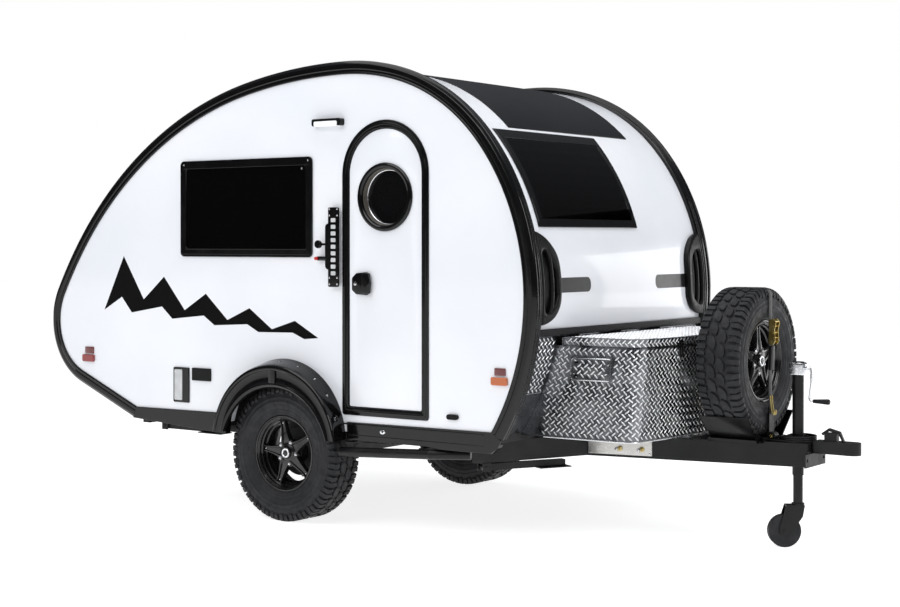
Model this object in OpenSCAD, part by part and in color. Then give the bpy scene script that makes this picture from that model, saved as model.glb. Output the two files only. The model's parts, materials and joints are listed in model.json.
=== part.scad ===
// Teardrop camping trailer. Millimetres, +X towards the coupler, +Y to the left, +Z up,
// origin on the ground under the middle of the overall length.

/* [Body shell] */
// Width over the two side walls
body_w = 1760; // [1500:10:2100]
// Thickness of every sandwich wall, roof and end panel
wall_t = 32; // [20:1:45]
// Height of the inner trim edge at the crown of the roof
crown_z = 2259; // [2100:1:2400]
// Top of the floor panel above the ground
floor_top = 527; // [500:1:560]
// Thickness of the floor panel
floor_t = 40; // [25:1:50]
// How far the skin stands out from the inner trim edge
skin_d = 32; // [26:1:40]
// How far the edge trim reaches out from its inner edge
trim_d = 67; // [55:1:80]
// Width of the trim on the roof side
trim_w = 72; // [55:1:90]
// How far trim, sills and frames stand proud of the side wall
trim_proud = 8; // [5:1:12]

/* [Door] */
// Centre of the door along the body
door_x = 655; // [600:1:700]
// Half width over the outer edge of the door frame
door_half = 266; // [230:1:300]
// Height where the round head of the door begins
door_spring = 1758; // [1600:1:1850]
// Lower edge of the door frame
door_z = 571; // [560:1:620]
// Visible width of the door frame
door_frame_w = 38; // [25:1:50]
// Running gap round the door leaf
door_gap = 6; // [5:1:10]
// Outer radius of the porthole ring
porthole_r = 168; // [120:1:185]
// Height of the porthole centre
porthole_z = 1647; // [1560:1:1700]

/* [Windows] */
// Side window length over its frame
window_w = 923; // [700:1:1000]
// Side window height over its frame
window_h = 509; // [400:1:560]
// Middle of the side window along the body
window_x = -267; // [-320:1:-220]
// Middle of the side window above the ground
window_z = 1604; // [1540:1:1640]
// Width of every window frame bar
window_bar = 42; // [30:1:55]

/* [Wheels] */
// Tyre radius
tyre_r = 348; // [320:1:360]
// Tyre section width
tyre_w = 218; // [180:1:230]
// Rim lip radius
rim_r = 194.5; // [180:0.5:205]
// Width over the rim lips
rim_w = 178; // [150:1:190]
// Distance from the centreline to the middle of a wheel
wheel_y = 795; // [770:1:820]

/* [Chassis] */
// Height of rails and tongue beams
beam_h = 102; // [80:1:102]
// Width of rails and tongue beams
beam_w = 50; // [40:1:60]
// Outer face of the rails from the centreline
rail_y = 575; // [540:1:600]
// Front end of the tongue beams, measured from the axle
tongue_x = 2500; // [2460:1:2560]
// Outer face of the tongue beams at their front end
tongue_y = 75; // [70:1:90]
// Radius of the ball that the coupler takes
ball_r = 25.4; // [25.4:0.1:25.4]
// Distance from the axle to the nose of the coupler
nose_x = 2727; // [2700:1:2800]

/* [Tongue box] */
// Half width of the box at its lid
box_half = 622; // [560:1:650]
// Half width of the box at its base
box_base_half = 672; // [600:1:700]
// Front of the box on the centreline
box_front = 1985; // [1900:1:2000]
// Top of the lid
box_top = 982; // [940:1:990]
// Underside of the box
box_base = 512; // [500:1:540]
// Sheet thickness of the box and its lid
sheet_t = 4; // [3:1:6]

/* [Jack] */
// Jack post from the axle
jack_x = 2420; // [2400:1:2440]
// Outer radius of the jack post
post_r = 26.5; // [25:0.5:32]
// Radius of the sliding inner tube
inner_r = 22.5; // [20:0.5:24]
// Radius of the jack wheel
jack_wheel_r = 76.5; // [60:0.5:80]
// Trail of the jack wheel behind its swivel
jack_trail = 65; // [50:1:75]

/* [Cable] */
// Diameter of the towing cable
cable_d = 10; // [8:0.5:14]

/* [Hidden] */

wall_y = body_w / 2;
inner_y = wall_y - wall_t;
beam_top = floor_top - floor_t;
beam_z = beam_top - beam_h;
arc_step = 3;
fit_gap = 0.3;

// The side view is a chain of tangent arcs, each [radius, sweep], down from the crown both ways.
crown_x = 399;
front_arcs = [[1176, 16.5], [956, 35], [1162, 49.7], [1196, 20.6]];
rear_arcs = [[3054, 12.5], [2091, 42.2], [2390, 6.3], [303, 96.7]];
tail_run = 471;

function turned(arcs, i) = i == 0 ? 0 : turned(arcs, i - 1) + arcs[i - 1][1];
function out_dir(side, a) = [side * sin(a), cos(a)];
function arc_centre(arcs, side, i) = i == 0
    ? [crown_x, crown_z - arcs[0][0]]
    : arc_centre(arcs, side, i - 1) + (arcs[i - 1][0] - arcs[i][0]) * out_dir(side, turned(arcs, i));
function arc_points(arcs, side, d) = [
    for (i = [0 : len(arcs) - 1])
        let (n = ceil(arcs[i][1] / arc_step), c = arc_centre(arcs, side, i), a0 = turned(arcs, i))
            for (k = [1 : n]) c + (arcs[i][0] + d) * out_dir(side, a0 + arcs[i][1] * k / n)
];
function reversed(list) = [for (i = [len(list) - 1 : -1 : 0]) list[i]];
function last(list) = list[len(list) - 1];

tail_turn = turned(rear_arcs, len(rear_arcs));
front_turn = turned(front_arcs, len(front_arcs));
function rear_end(d) = last(arc_points(rear_arcs, -1, d)) + tail_run * [-cos(tail_turn), -sin(tail_turn)];
function front_end(d) = last(arc_points(front_arcs, 1, d));
function outline(d) = concat(
    [rear_end(d)], reversed(arc_points(rear_arcs, -1, d)),
    [[crown_x, crown_z + d]], arc_points(front_arcs, 1, d)
);

// The rearmost point of the trim lies on the last rear arc, level with its centre.
tail_x = arc_centre(rear_arcs, -1, 3)[0] - rear_arcs[3][0] - trim_d;
shift_x = -(nose_x + tail_x) / 2;

roof_front_x = 1155;
roof_rear_x = -900;

function circle_points(c, r, a0, a1, n) = [for (k = [0 : n]) c + r * [cos(a0 + (a1 - a0) * k / n), sin(a0 + (a1 - a0) * k / n)]];
function round_rect(x0, z0, x1, z1, r) = concat(
    circle_points([x1 - r, z1 - r], r, 0, 90, 5), circle_points([x0 + r, z1 - r], r, 90, 180, 5),
    circle_points([x0 + r, z0 + r], r, 180, 270, 5), circle_points([x1 - r, z0 + r], r, 270, 360, 5)
);
function arch_shape(x, half, z0, z1) = concat([[x - half, z0], [x + half, z0]], circle_points([x, z1], half, 0, 180, 32));

// Everything is drawn with x from the axle and then moved to the middle of the overall length.
module placed() {
    translate([shift_x, 0, 0]) children();
}
// A side-view shape between two stations across the trailer.
module across(y0, y1) {
    translate([0, y1, 0]) rotate([90, 0, 0]) linear_extrude(y1 - y0) children();
}
// A front-view shape between two stations along the trailer.
module along(x0, x1) {
    translate([x0, 0, 0]) rotate([90, 0, 90]) linear_extrude(x1 - x0) children();
}
module upward(z0, z1) {
    translate([0, 0, z0]) linear_extrude(z1 - z0) children();
}
module box_at(x0, x1, y0, y1, z0, z1) {
    translate([x0, y0, z0]) cube([x1 - x0, y1 - y0, z1 - z0]);
}
module both_sides() {
    children();
    mirror([0, 1, 0]) children();
}
module rod(p, q, r) {
    v = q - p;
    translate(p) rotate([0, acos(v[2] / norm(v)), atan2(v[1], v[0])]) cylinder(h = norm(v), r = r, $fn = 48);
}
// The strip between two offsets of the body outline.
module band(d0, d1) {
    polygon(concat(outline(d1), reversed(outline(d0))));
}
// A piece of that strip, cut by a window in side view.
module band_part(d0, d1, x0, x1, z0, z1) {
    intersection() {
        band(d0, d1);
        translate([x0, z0]) square([x1 - x0, z1 - z0]);
    }
}

// ---- chassis ----

rear_outrigger_x = [-1035, -560];
front_outrigger_x = [430, 880];
outrigger_h = 50;
outrigger_y = inner_y - 4;
module outriggers(stations, y0) {
    for (x = stations) box_at(x - beam_w / 2, x + beam_w / 2, y0, outrigger_y, beam_top - outrigger_h, beam_top);
}

module chassis_frame() {
    color("dimgray") placed() {
        both_sides() {
            box_at(-1060, 0, rail_y - beam_w, rail_y, beam_z, beam_top);
            outriggers(rear_outrigger_x, rail_y);
        }
        for (x = [-1060, -560])
            box_at(x, x + beam_w, beam_w - rail_y, rail_y - beam_w, beam_z, beam_top);
    }
}

tongue_slope = (rail_y - tongue_y) / tongue_x;
function tongue_out(x) = rail_y - tongue_slope * x;

gusset_x = 1150;
gusset_y = inner_y;
gusset_join_x = 1405;

module tongue_member(x0, x1) {
    upward(beam_z, beam_top) polygon([
        [x0, beam_w - tongue_out(x0)], [x0, tongue_out(x0) - beam_w],
        [x1, tongue_out(x1) - beam_w], [x1, beam_w - tongue_out(x1)]
    ]);
}

plate_t = 8;
plate_x = 2300;
chain_hole_y = 95;
chain_hole_z = 418;
chain_hole_r = 9;

module tongue_beams() {
    color("dimgray") placed() {
        difference() {
            union() {
                both_sides() {
                    upward(beam_z, beam_top) polygon([
                        [0, rail_y], [0, rail_y - beam_w],
                        [tongue_x, tongue_y - beam_w], [tongue_x, tongue_y]
                    ]);
                    upward(beam_z, beam_top) polygon([
                        [gusset_x, gusset_y], [gusset_x + 40, gusset_y],
                        [gusset_join_x + 40, tongue_out(gusset_join_x + 40)], [gusset_join_x - 30, tongue_out(gusset_join_x - 30)]
                    ]);
                }
                for (x = front_outrigger_x) both_sides() outriggers([x], tongue_out(x) - beam_w / 2);
                tongue_member(0, beam_w);
                tongue_member(700, 700 + beam_w);
                tongue_member(1300, 1300 + beam_w);
                tongue_member(1860, 1860 + beam_w);
                upward(beam_top, beam_top + plate_t) polygon([
                    [plate_x, -tongue_out(plate_x)], [plate_x, tongue_out(plate_x)],
                    [tongue_x, tongue_y], [tongue_x, -tongue_y]
                ]);
                box_at(tongue_x, tongue_x + plate_t, -115, 115, beam_z, coupler_z - 1);
            }
            translate([jack_x, 0, beam_z - 1]) cylinder(h = beam_h + plate_t + 2, r = post_r + fit_gap, $fn = 64);
            for (y = [-chain_hole_y, chain_hole_y])
                translate([tongue_x - 1, y, chain_hole_z]) rotate([0, 90, 0]) cylinder(h = plate_t + 2, r = chain_hole_r, $fn = 48);
        }
    }
}

coupler_z = 448;
head_r = 41;
socket_x = nose_x - head_r;
socket_z = coupler_z + 25;
socket_r = ball_r + 0.4;

module coupler() {
    color("black") placed() {
        difference() {
            union() {
                box_at(2452, 2520, -24.5, 24.5, coupler_z, beam_top - fit_gap);
                upward(coupler_z, coupler_z + 58) polygon([
                    [tongue_x + plate_t + 1, -38], [2620, -38], [socket_x, -head_r],
                    [socket_x, head_r], [2620, 38], [tongue_x + plate_t + 1, 38]
                ]);
                translate([socket_x, 0, coupler_z]) cylinder(h = 58, r = head_r, $fn = 96);
                box_at(2556, 2616, -17, 17, coupler_z + 58, 545);
                across(-9, 9) polygon([[2545, 530], [2575, 552], [2622, 540], [2640, 506], [2650, 508], [2630, 552], [2575, 566], [2538, 540]]);
            }
            translate([socket_x, 0, coupler_z - 1]) cylinder(h = 26, r = socket_r, $fn = 96);
            translate([socket_x, 0, socket_z]) sphere(r = socket_r, $fn = 96);
        }
    }
}

axle_x = 150;
axle_side = 58;
arm_y0 = 642;
arm_y1 = 668;
hub_r = 29.7;
drum_r = 125;

module axle() {
    color("dimgray") placed() {
        box_at(axle_x - axle_side / 2, axle_x + axle_side / 2, -arm_y0, arm_y0, beam_z - axle_side, beam_z);
        both_sides() {
            translate([0, arm_y1, 0]) rotate([90, 0, 0]) linear_extrude(arm_y1 - arm_y0) union() {
                polygon([[0, tyre_r + 30], [axle_x, beam_z], [axle_x, beam_z - axle_side], [0, tyre_r - 30]]);
                translate([0, tyre_r]) circle(r = 36, $fn = 48);
                translate([axle_x, beam_z - axle_side / 2]) circle(r = 36, $fn = 48);
            }
            rod([0, arm_y1, tyre_r], [0, wheel_y + 20, tyre_r], hub_r);
            translate([0, 0, tyre_r]) rotate([-90, 0, 0]) translate([0, 0, wheel_y - 104]) cylinder(h = 5, r = drum_r + 4, $fn = 96);
        }
    }
}

// ---- shell ----

well_x0 = -410;
well_x1 = 424;
well_y = 620;
well_top = 762;
well_t = 12;

module floor_panel() {
    color("burlywood") placed() {
        difference() {
            across(-inner_y, inner_y) polygon([
                [rear_end(skin_d)[0], beam_top], rear_end(skin_d), rear_end(skin_d - wall_t + 2), [rear_end(0)[0] + 12, floor_top],
                [front_end(0)[0] - 20, floor_top], [front_end(0)[0] - 20, front_end(0)[1]], front_end(skin_d - wall_t + 2),
                front_end(skin_d), [front_end(skin_d)[0], beam_top]
            ]);
            both_sides() box_at(well_x0 + well_t, well_x1 - well_t, well_y + well_t, wall_y, beam_top - 1, floor_top + 1);
        }
        both_sides() difference() {
            box_at(well_x0, well_x1, well_y, inner_y, floor_top, well_top);
            box_at(well_x0 + well_t, well_x1 - well_t, well_y + well_t, wall_y, floor_top - 1, well_top - well_t);
        }
    }
}

module wall_blank() {
    polygon(concat(outline(skin_d), [[front_end(skin_d)[0], beam_top], [rear_end(skin_d)[0], beam_top]]));
}

// The wheel arch in the wall.
arch_x = 10;
arch_z = 405;
arch_r = 392;
module arch_cut(r) {
    translate([arch_x, arch_z]) circle(r = r, $fn = 96);
    translate([arch_x - r, 300]) square([2 * r, arch_z - 300]);
}

window_x0 = window_x - window_w / 2;
window_x1 = window_x + window_w / 2;
window_z0 = window_z - window_h / 2;
window_z1 = window_z + window_h / 2;
frame_lap = 22;
function window_inset(d, r) = round_rect(window_x0 + d, window_z0 + d, window_x1 - d, window_z1 - d, r);

door_open_half = door_half - door_frame_w;
door_open_z = door_z + door_frame_w;
leaf_half = door_open_half - door_gap;
leaf_z = door_open_z + door_gap;

module right_wall() {
    color("white") placed() {
        across(-wall_y, -inner_y) difference() {
            wall_blank();
            arch_cut(arch_r);
            polygon(arch_shape(door_x, door_open_half, door_open_z, door_spring));
            polygon(window_inset(frame_lap, 20));
        }
    }
}

module left_wall() {
    color("white") placed() {
        across(inner_y, wall_y) difference() {
            wall_blank();
            arch_cut(arch_r);
            polygon(window_inset(frame_lap, 20));
        }
    }
}

skin_in = skin_d - wall_t + 2;

module roof_panel() {
    color("white") placed() {
        across(-inner_y, inner_y) band_part(skin_in, skin_d, roof_rear_x, roof_front_x, 1500, 2500);
    }
}

// End windows: [lower edge, upper edge] in height, then [right edge, left edge] across.
front_win_z = [1498, 1968];
front_win_y = [-735, 192];
rear_win_z = [1340, 1700];
rear_win_y = [-480, 480];

module end_window_cut(x0, x1, zz, yy, inset) {
    box_at(x0, x1, yy[0] + inset, yy[1] - inset, zz[0] + inset, zz[1] - inset);
}

module front_wall() {
    color("white") placed() {
        difference() {
            across(-inner_y, inner_y) band_part(skin_in, skin_d, roof_front_x, 2000, 0, 2500);
            end_window_cut(1000, 2000, front_win_z, front_win_y, frame_lap);
        }
    }
}

module rear_wall() {
    color("white") placed() {
        difference() {
            across(-inner_y, inner_y) band_part(skin_in, skin_d, -2000, roof_rear_x, 0, 2500);
            end_window_cut(-2000, -900, rear_win_z, rear_win_y, frame_lap);
        }
    }
}

module edge_trim() {
    across(-wall_y, trim_w - wall_y - trim_proud) band(skin_d, trim_d);
    across(-wall_y - trim_proud, -wall_y) band(0, trim_d);
}

module right_trim() {
    color("black") placed() edge_trim();
}
module left_trim() {
    color("black") placed() mirror([0, 1, 0]) edge_trim();
}

sill_rear_z = 462;
sill_arch_z = 420;
sill_door_z = 448;
sill_nose_z = 440;
sill_lap = 400;

module sill_shape(x0, x1) {
    intersection() {
        polygon([
            rear_end(0), front_end(0), front_end(trim_d), [front_end(trim_d)[0] - 20, 470],
            [front_end(trim_d)[0] - 60, sill_nose_z], [985, sill_nose_z], [900, sill_door_z], [sill_lap, sill_door_z],
            [-sill_lap, sill_arch_z], [-1068, sill_rear_z], rear_end(trim_d)
        ]);
        translate([x0, 300]) square([x1 - x0, 400]);
    }
}

module sills() {
    color("black") placed() both_sides() {
        for (run = [[-1200, arch_x - flare_r], [arch_x + flare_r, 1400]]) {
            across(wall_y, wall_y + trim_proud) sill_shape(run[0], run[1]);
            across(inner_y + fit_gap, wall_y) intersection() {
                sill_shape(run[0], run[1]);
                translate([-2000, 0]) square([4000, beam_top - fit_gap]);
            }
        }
    }
}

// ---- door ----

hinge_r = 7;
hinge_x = door_x + door_open_half + 5;
frame_face = wall_y + trim_proud + 2;
hinge_y = frame_face + hinge_r + 1;
knuckle_h = 60;
hinge_z = [800, 1600];

module knuckle(z) {
    translate([hinge_x, -hinge_y, z - knuckle_h / 2 + fit_gap]) cylinder(h = knuckle_h - 2 * fit_gap, r = hinge_r, $fn = 48);
}

module door_frame() {
    color("black") placed() {
        across(-frame_face, -wall_y) difference() {
            polygon(arch_shape(door_x, door_half, door_z, door_spring));
            polygon(arch_shape(door_x, door_open_half, door_open_z, door_spring));
        }
        for (z = hinge_z) for (dz = [-knuckle_h, knuckle_h]) {
            knuckle(z + dz);
            box_at(hinge_x, hinge_x + 14, -hinge_y, -frame_face + 1, z + dz - knuckle_h / 2 + fit_gap, z + dz + knuckle_h / 2 - fit_gap);
        }
    }
}

module door() {
    color("white") placed() {
        across(-wall_y, -inner_y) difference() {
            polygon(arch_shape(door_x, leaf_half, leaf_z, door_spring));
            translate([door_x, porthole_z]) circle(r = porthole_r - 22, $fn = 96);
        }
        for (z = hinge_z) {
            knuckle(z);
            upward(z - knuckle_h / 2 + fit_gap, z + knuckle_h / 2 - fit_gap) polygon([
                [hinge_x, -hinge_y - hinge_r], [hinge_x, -hinge_y], [hinge_x - 8, -frame_face - 4], [hinge_x - 13, -wall_y + 1],
                [hinge_x - 50, -wall_y + 1], [hinge_x - 50, -wall_y - 4], [hinge_x - 17, -wall_y - 4], [hinge_x - 12, -hinge_y - 2]
            ]);
        }
    }
}

module porthole_ring() {
    color("black") placed() {
        translate([door_x, -wall_y, porthole_z]) rotate([90, 0, 0]) difference() {
            union() {
                cylinder(h = 12, r = porthole_r, $fn = 96);
                translate([0, 0, -wall_t]) cylinder(h = wall_t, r = porthole_r - 22 - fit_gap, $fn = 96);
            }
            translate([0, 0, -wall_t - 1]) cylinder(h = wall_t + 14, r = porthole_r - 34, $fn = 96);
        }
    }
}

module porthole_glass() {
    color("dimgray") placed() {
        translate([door_x, -wall_y + 14, porthole_z]) rotate([90, 0, 0]) cylinder(h = 6, r = porthole_r - 34 - fit_gap, $fn = 96);
    }
}

latch_x = 505;
latch_z = 1225;
module door_latch() {
    color("black") placed() {
        across(-wall_y - 9, -wall_y) polygon(round_rect(latch_x - 45, latch_z - 52, latch_x + 38, latch_z + 52, 30));
        across(-wall_y - 30, -wall_y - 9) polygon(round_rect(latch_x - 30, latch_z - 18, latch_x + 70, latch_z + 22, 16));
    }
}

// ---- windows and roof ----

module side_frame() {
    across(wall_y, wall_y + 10) difference() {
        polygon(window_inset(0, 24));
        polygon(window_inset(window_bar, 14));
    }
    across(inner_y, wall_y) difference() {
        polygon(window_inset(frame_lap + fit_gap, 20));
        polygon(window_inset(window_bar, 14));
    }
}

pane_d = [skin_d - 2, skin_d + 8];

module end_frame(x0, x1, zz, yy) {
    difference() {
        union() {
            intersection() {
                across(yy[0], yy[1]) band(skin_d, skin_d + 10);
                end_window_cut(x0, x1, zz, yy, 0);
            }
            intersection() {
                across(yy[0], yy[1]) band(skin_in, skin_d);
                end_window_cut(x0, x1, zz, yy, frame_lap + fit_gap);
            }
        }
        end_window_cut(x0, x1, zz, yy, window_bar);
    }
}

module window_frames() {
    color("black") placed() {
        both_sides() side_frame();
        end_frame(1000, 2000, front_win_z, front_win_y);
        end_frame(-2000, -900, rear_win_z, rear_win_y);
    }
}

module window_panes() {
    color("darkslategray") placed() {
        both_sides() across(wall_y - 1, wall_y + 6) polygon(window_inset(window_bar + fit_gap, 14));
        intersection() {
            across(front_win_y[0], front_win_y[1]) band(pane_d[0], pane_d[1]);
            end_window_cut(1000, 2000, front_win_z, front_win_y, window_bar + fit_gap);
        }
        intersection() {
            across(rear_win_y[0], rear_win_y[1]) band(pane_d[0], pane_d[1]);
            end_window_cut(-2000, -900, rear_win_z, rear_win_y, window_bar + fit_gap);
        }
    }
}

solar_half = 575;
solar_x = [250, 1172];
module solar_panel() {
    color("darkslategray") placed() across(-solar_half, solar_half) band_part(skin_d, skin_d + 4, solar_x[0], solar_x[1], 1900, 2500);
}

vent_x = [-460, -60];
module roof_vent() {
    color("white") placed() {
        across(-210, 210) band_part(skin_d, skin_d + 18, vent_x[0], vent_x[1], 1900, 2500);
        across(-185, 185) band_part(skin_d + 18, skin_d + 42, vent_x[0] + 25, vent_x[1] - 25, 1900, 2500);
    }
}

handle_z = [1042, 1473];
handle_y = [637, wall_y + trim_proud - trim_w];
grip_wall = 36;
module handle(x0, x1) {
    across(handle_y[0], handle_y[1] - fit_gap) band_part(skin_d, skin_d + 10, x0, x1, handle_z[0], handle_z[1]);
    difference() {
        across(handle_y[0] + 12, handle_y[1] - fit_gap) band_part(skin_d + 10, skin_d + 34, x0, x1, handle_z[0] + 12, handle_z[1] - 12);
        box_at(x0, x1, handle_y[0] + grip_wall, handle_y[1] - grip_wall, handle_z[0] + 100, handle_z[1] - 100);
    }
    across(handle_y[0] + 72, handle_y[0] + 102) band_part(skin_d + 22, skin_d + 34, x0, x1, handle_z[0] + 100, handle_z[1] - 100);
}

module grab_handles() {
    color("black") placed() both_sides() {
        handle(1300, 1700);
        handle(-1900, -1200);
    }
}

// ---- wheels ----

// A wheel lies along +Y with its outer face at +Y and its middle at the origin.
bead_r = 178;
function tyre_half() = [
    [bead_r + fit_gap, 80.6], [rim_r + 0.7, 80.6], [rim_r + 0.7, 90], [218, tyre_w / 2 - 7], [262, tyre_w / 2],
    [310, tyre_w / 2 - 3], [334, tyre_w / 2 - 12], [tyre_r - 4, tyre_w / 2 - 24], [tyre_r, tyre_w / 2 - 38]
];
module tyre() {
    half = tyre_half();
    rotate([-90, 0, 0]) rotate_extrude($fn = 128)
        polygon(concat(half, [for (p = reversed(half)) [p[0], -p[1]]]));
}

spoke_count = 5;
module rim() {
    rotate([-90, 0, 0]) {
        difference() {
            union() {
                cylinder(h = rim_w, r = bead_r, center = true, $fn = 128);
                for (s = [-1, 1]) translate([0, 0, s * (rim_w / 2 - 4)]) cylinder(h = 8, r = rim_r, center = true, $fn = 128);
            }
            cylinder(h = rim_w + 2, r = bead_r - 9, center = true, $fn = 128);
        }
        difference() {
            union() {
                translate([0, 0, 28]) cylinder(h = 36, r = 66, $fn = 96);
                translate([0, 0, -98]) cylinder(h = 126, r = 62, $fn = 96);
                translate([0, 0, -93]) cylinder(h = 62, r = drum_r, $fn = 128);
                for (k = [0 : spoke_count - 1]) rotate([0, 0, 90 + k * 360 / spoke_count])
                    translate([0, 0, 40]) linear_extrude(24) polygon([[40, -36], [bead_r - 6, -15], [bead_r - 6, 15], [40, 36]]);
            }
            translate([0, 0, -99]) cylinder(h = 99 + 22, r = hub_r + fit_gap, $fn = 96);
        }
        translate([0, 0, 64]) cylinder(h = 12, r = 30, $fn = 64);
    }
}

module right_wheel_place() {
    placed() translate([0, -wheel_y, tyre_r]) mirror([0, 1, 0]) children();
}
module left_wheel_place() {
    placed() translate([0, wheel_y, tyre_r]) children();
}
module right_tyre() {
    color("black") right_wheel_place() tyre();
}
module right_rim() {
    color("black") right_wheel_place() rim();
}
module left_tyre() {
    color("black") left_wheel_place() tyre();
}
module left_rim() {
    color("black") left_wheel_place() rim();
}

spare_z = 863;
spare_x = 2162;
module spare_place() {
    placed() translate([spare_x, 0, spare_z]) rotate([0, 0, -90]) children();
}
module spare_tyre() {
    color("black") spare_place() tyre();
}
module spare_rim() {
    color("black") spare_place() rim();
}

wing_tilt = 42.3;
wing_up = 12;
wing_down = 166;
wing_t = 5;
carrier_x = [2032, 2286];
gland_x = 2299;
gland_y = [-94, -70];
post_y = [-12, 40];
module spare_carrier() {
    color("black") placed() {
        difference() {
            both_sides() translate([0, 0, spare_z]) rotate([wing_tilt, 0, 0])
                box_at(carrier_x[0], carrier_x[1], -wing_down, wing_up, -tyre_r - fit_gap - wing_t, -tyre_r - fit_gap);
            box_at(carrier_x[0] - 1, carrier_x[1] + 1, -400, 400, 0, beam_top + fit_gap);
        }
        box_at(carrier_x[0], carrier_x[1], -160, 160, beam_top + fit_gap, beam_top + 14);
        for (x = [spare_x - strap_out - 6.3, spare_x + strap_out + fit_gap])
            box_at(x, x + 6, post_y[0], post_y[1], beam_top + 10, 650);
        box_at(2115, 2210, -40, 40, beam_top + 10, spare_z - tyre_r - fit_gap);
        box_at(carrier_x[1] - 6, gland_x, gland_y[0], gland_y[1], beam_top + fit_gap, 512);
    }
}

strap_t = 3;
strap_y = [-4, 32];
strap_r = 38;
strap_in = max(tyre_w, rim_w) / 2 + fit_gap;
strap_out = strap_in + strap_t;
module strap_loop(d) {
    polygon(round_rect(spare_x - strap_in - d, 560 - d, spare_x + strap_in + d, spare_z + tyre_r + fit_gap + d, strap_r + d));
}
module spare_strap() {
    color("goldenrod") placed() {
        across(strap_y[0], strap_y[1]) intersection() {
            difference() {
                strap_loop(strap_t);
                strap_loop(0);
            }
            translate([0, 634]) square([4000, 1000]);
        }
        box_at(spare_x + strap_in, spare_x + strap_in + 46, strap_y[0] - 6, strap_y[1] + 6, 930, 1070);
        for (x = [spare_x - strap_out, spare_x + strap_in]) box_at(x, x + strap_t, strap_y[0], strap_y[1], 610, 640);
    }
}

// ---- wheel arches and steps ----

flare_r = 410;
flare_y = wall_y + 110;
flare_mouth_r = 363;
flare_mouth_z = 328;
flare_end_z = 446;
flare_t = 8;

module flare_blank(r) {
    intersection() {
        union() {
            translate([arch_x, arch_z]) circle(r = r, $fn = 128);
            translate([arch_x - r, flare_end_z - 200]) square([2 * r, arch_z - flare_end_z + 200]);
        }
        translate([-1000, flare_end_z]) square([2000, 1000]);
    }
}
module flare() {
    across(wall_y, flare_y - flare_t) difference() {
        flare_blank(flare_r);
        flare_blank(flare_r - flare_t);
        translate([-1000, flare_end_z - 1]) square([2000, 0.5]);
    }
    across(flare_y - flare_t, flare_y) difference() {
        flare_blank(flare_r);
        translate([arch_x, flare_mouth_z]) circle(r = flare_mouth_r, $fn = 128);
    }
}
module right_flare() {
    color("black") placed() mirror([0, 1, 0]) flare();
}
module left_flare() {
    color("black") placed() flare();
}

step_r = 24;
step_y = 882;
step_a = [380, 384];
step_b = [930, 412];
step_legs = [430, 880];
function step_z(x) = step_a[1] + (step_b[1] - step_a[1]) * (x - step_a[0]) / (step_b[0] - step_a[0]);
module step_bars() {
    color("black") placed() both_sides() {
        rod([step_a[0], step_y, step_a[1]], [step_b[0], step_y, step_b[1]], step_r);
        translate([step_b[0], step_y, step_b[1]]) sphere(r = step_r + 0.5, $fn = 48);
        rod([step_b[0], step_y, step_b[1]], [1110, 800, 415], step_r);
        for (x = step_legs) box_at(x - 20, x + 20, 770, step_y, beam_top - outrigger_h - 8, beam_top - outrigger_h);
        for (x = step_legs) box_at(x - 20, x + 20, step_y - 12, step_y - 4, step_z(x), beam_top - outrigger_h);
    }
}

// ---- tongue box ----

box_corner = 70;
box_bow = 50;
// Plan of the box for a half width and a front, with a bowed front and round corners.
function box_plan(half, front, inset) = let (
    h = half - inset, f = front - inset, r = box_corner, xc = f - box_bow - r,
    side = [for (k = [0 : 6]) [xc + r * sin(k * 15), h - r + r * cos(k * 15)]],
    bow = [for (k = [-5 : 5]) [f - box_bow * pow(k / 6, 2), -k / 6 * (h - r)]]
) concat([[1200, -h], [1200, h]], side, bow, [for (p = reversed(side)) [p[0], -p[1]]]);

lid_h = 36;
lid_gap = 5;
box_rim = box_top - lid_h - lid_gap;
base_front = box_front - 15;

module box_block(inset, z0, z1) {
    hull() {
        upward(z0, z0 + 0.1) polygon(box_plan(box_base_half, base_front, inset));
        upward(z1 - 0.1, z1) polygon(box_plan(box_half, box_front, inset));
    }
}
module body_cut(d) {
    across(-1000, 1000) polygon(concat(outline(d), [[front_end(d)[0], 300], [rear_end(d)[0], 300]]));
}

hatch_x = [1566, 1776];
hatch_z = [787, 885];
coaming_in = 14;
box_back_x = 1516;
box_feet_x = [1400, 1875];

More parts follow.
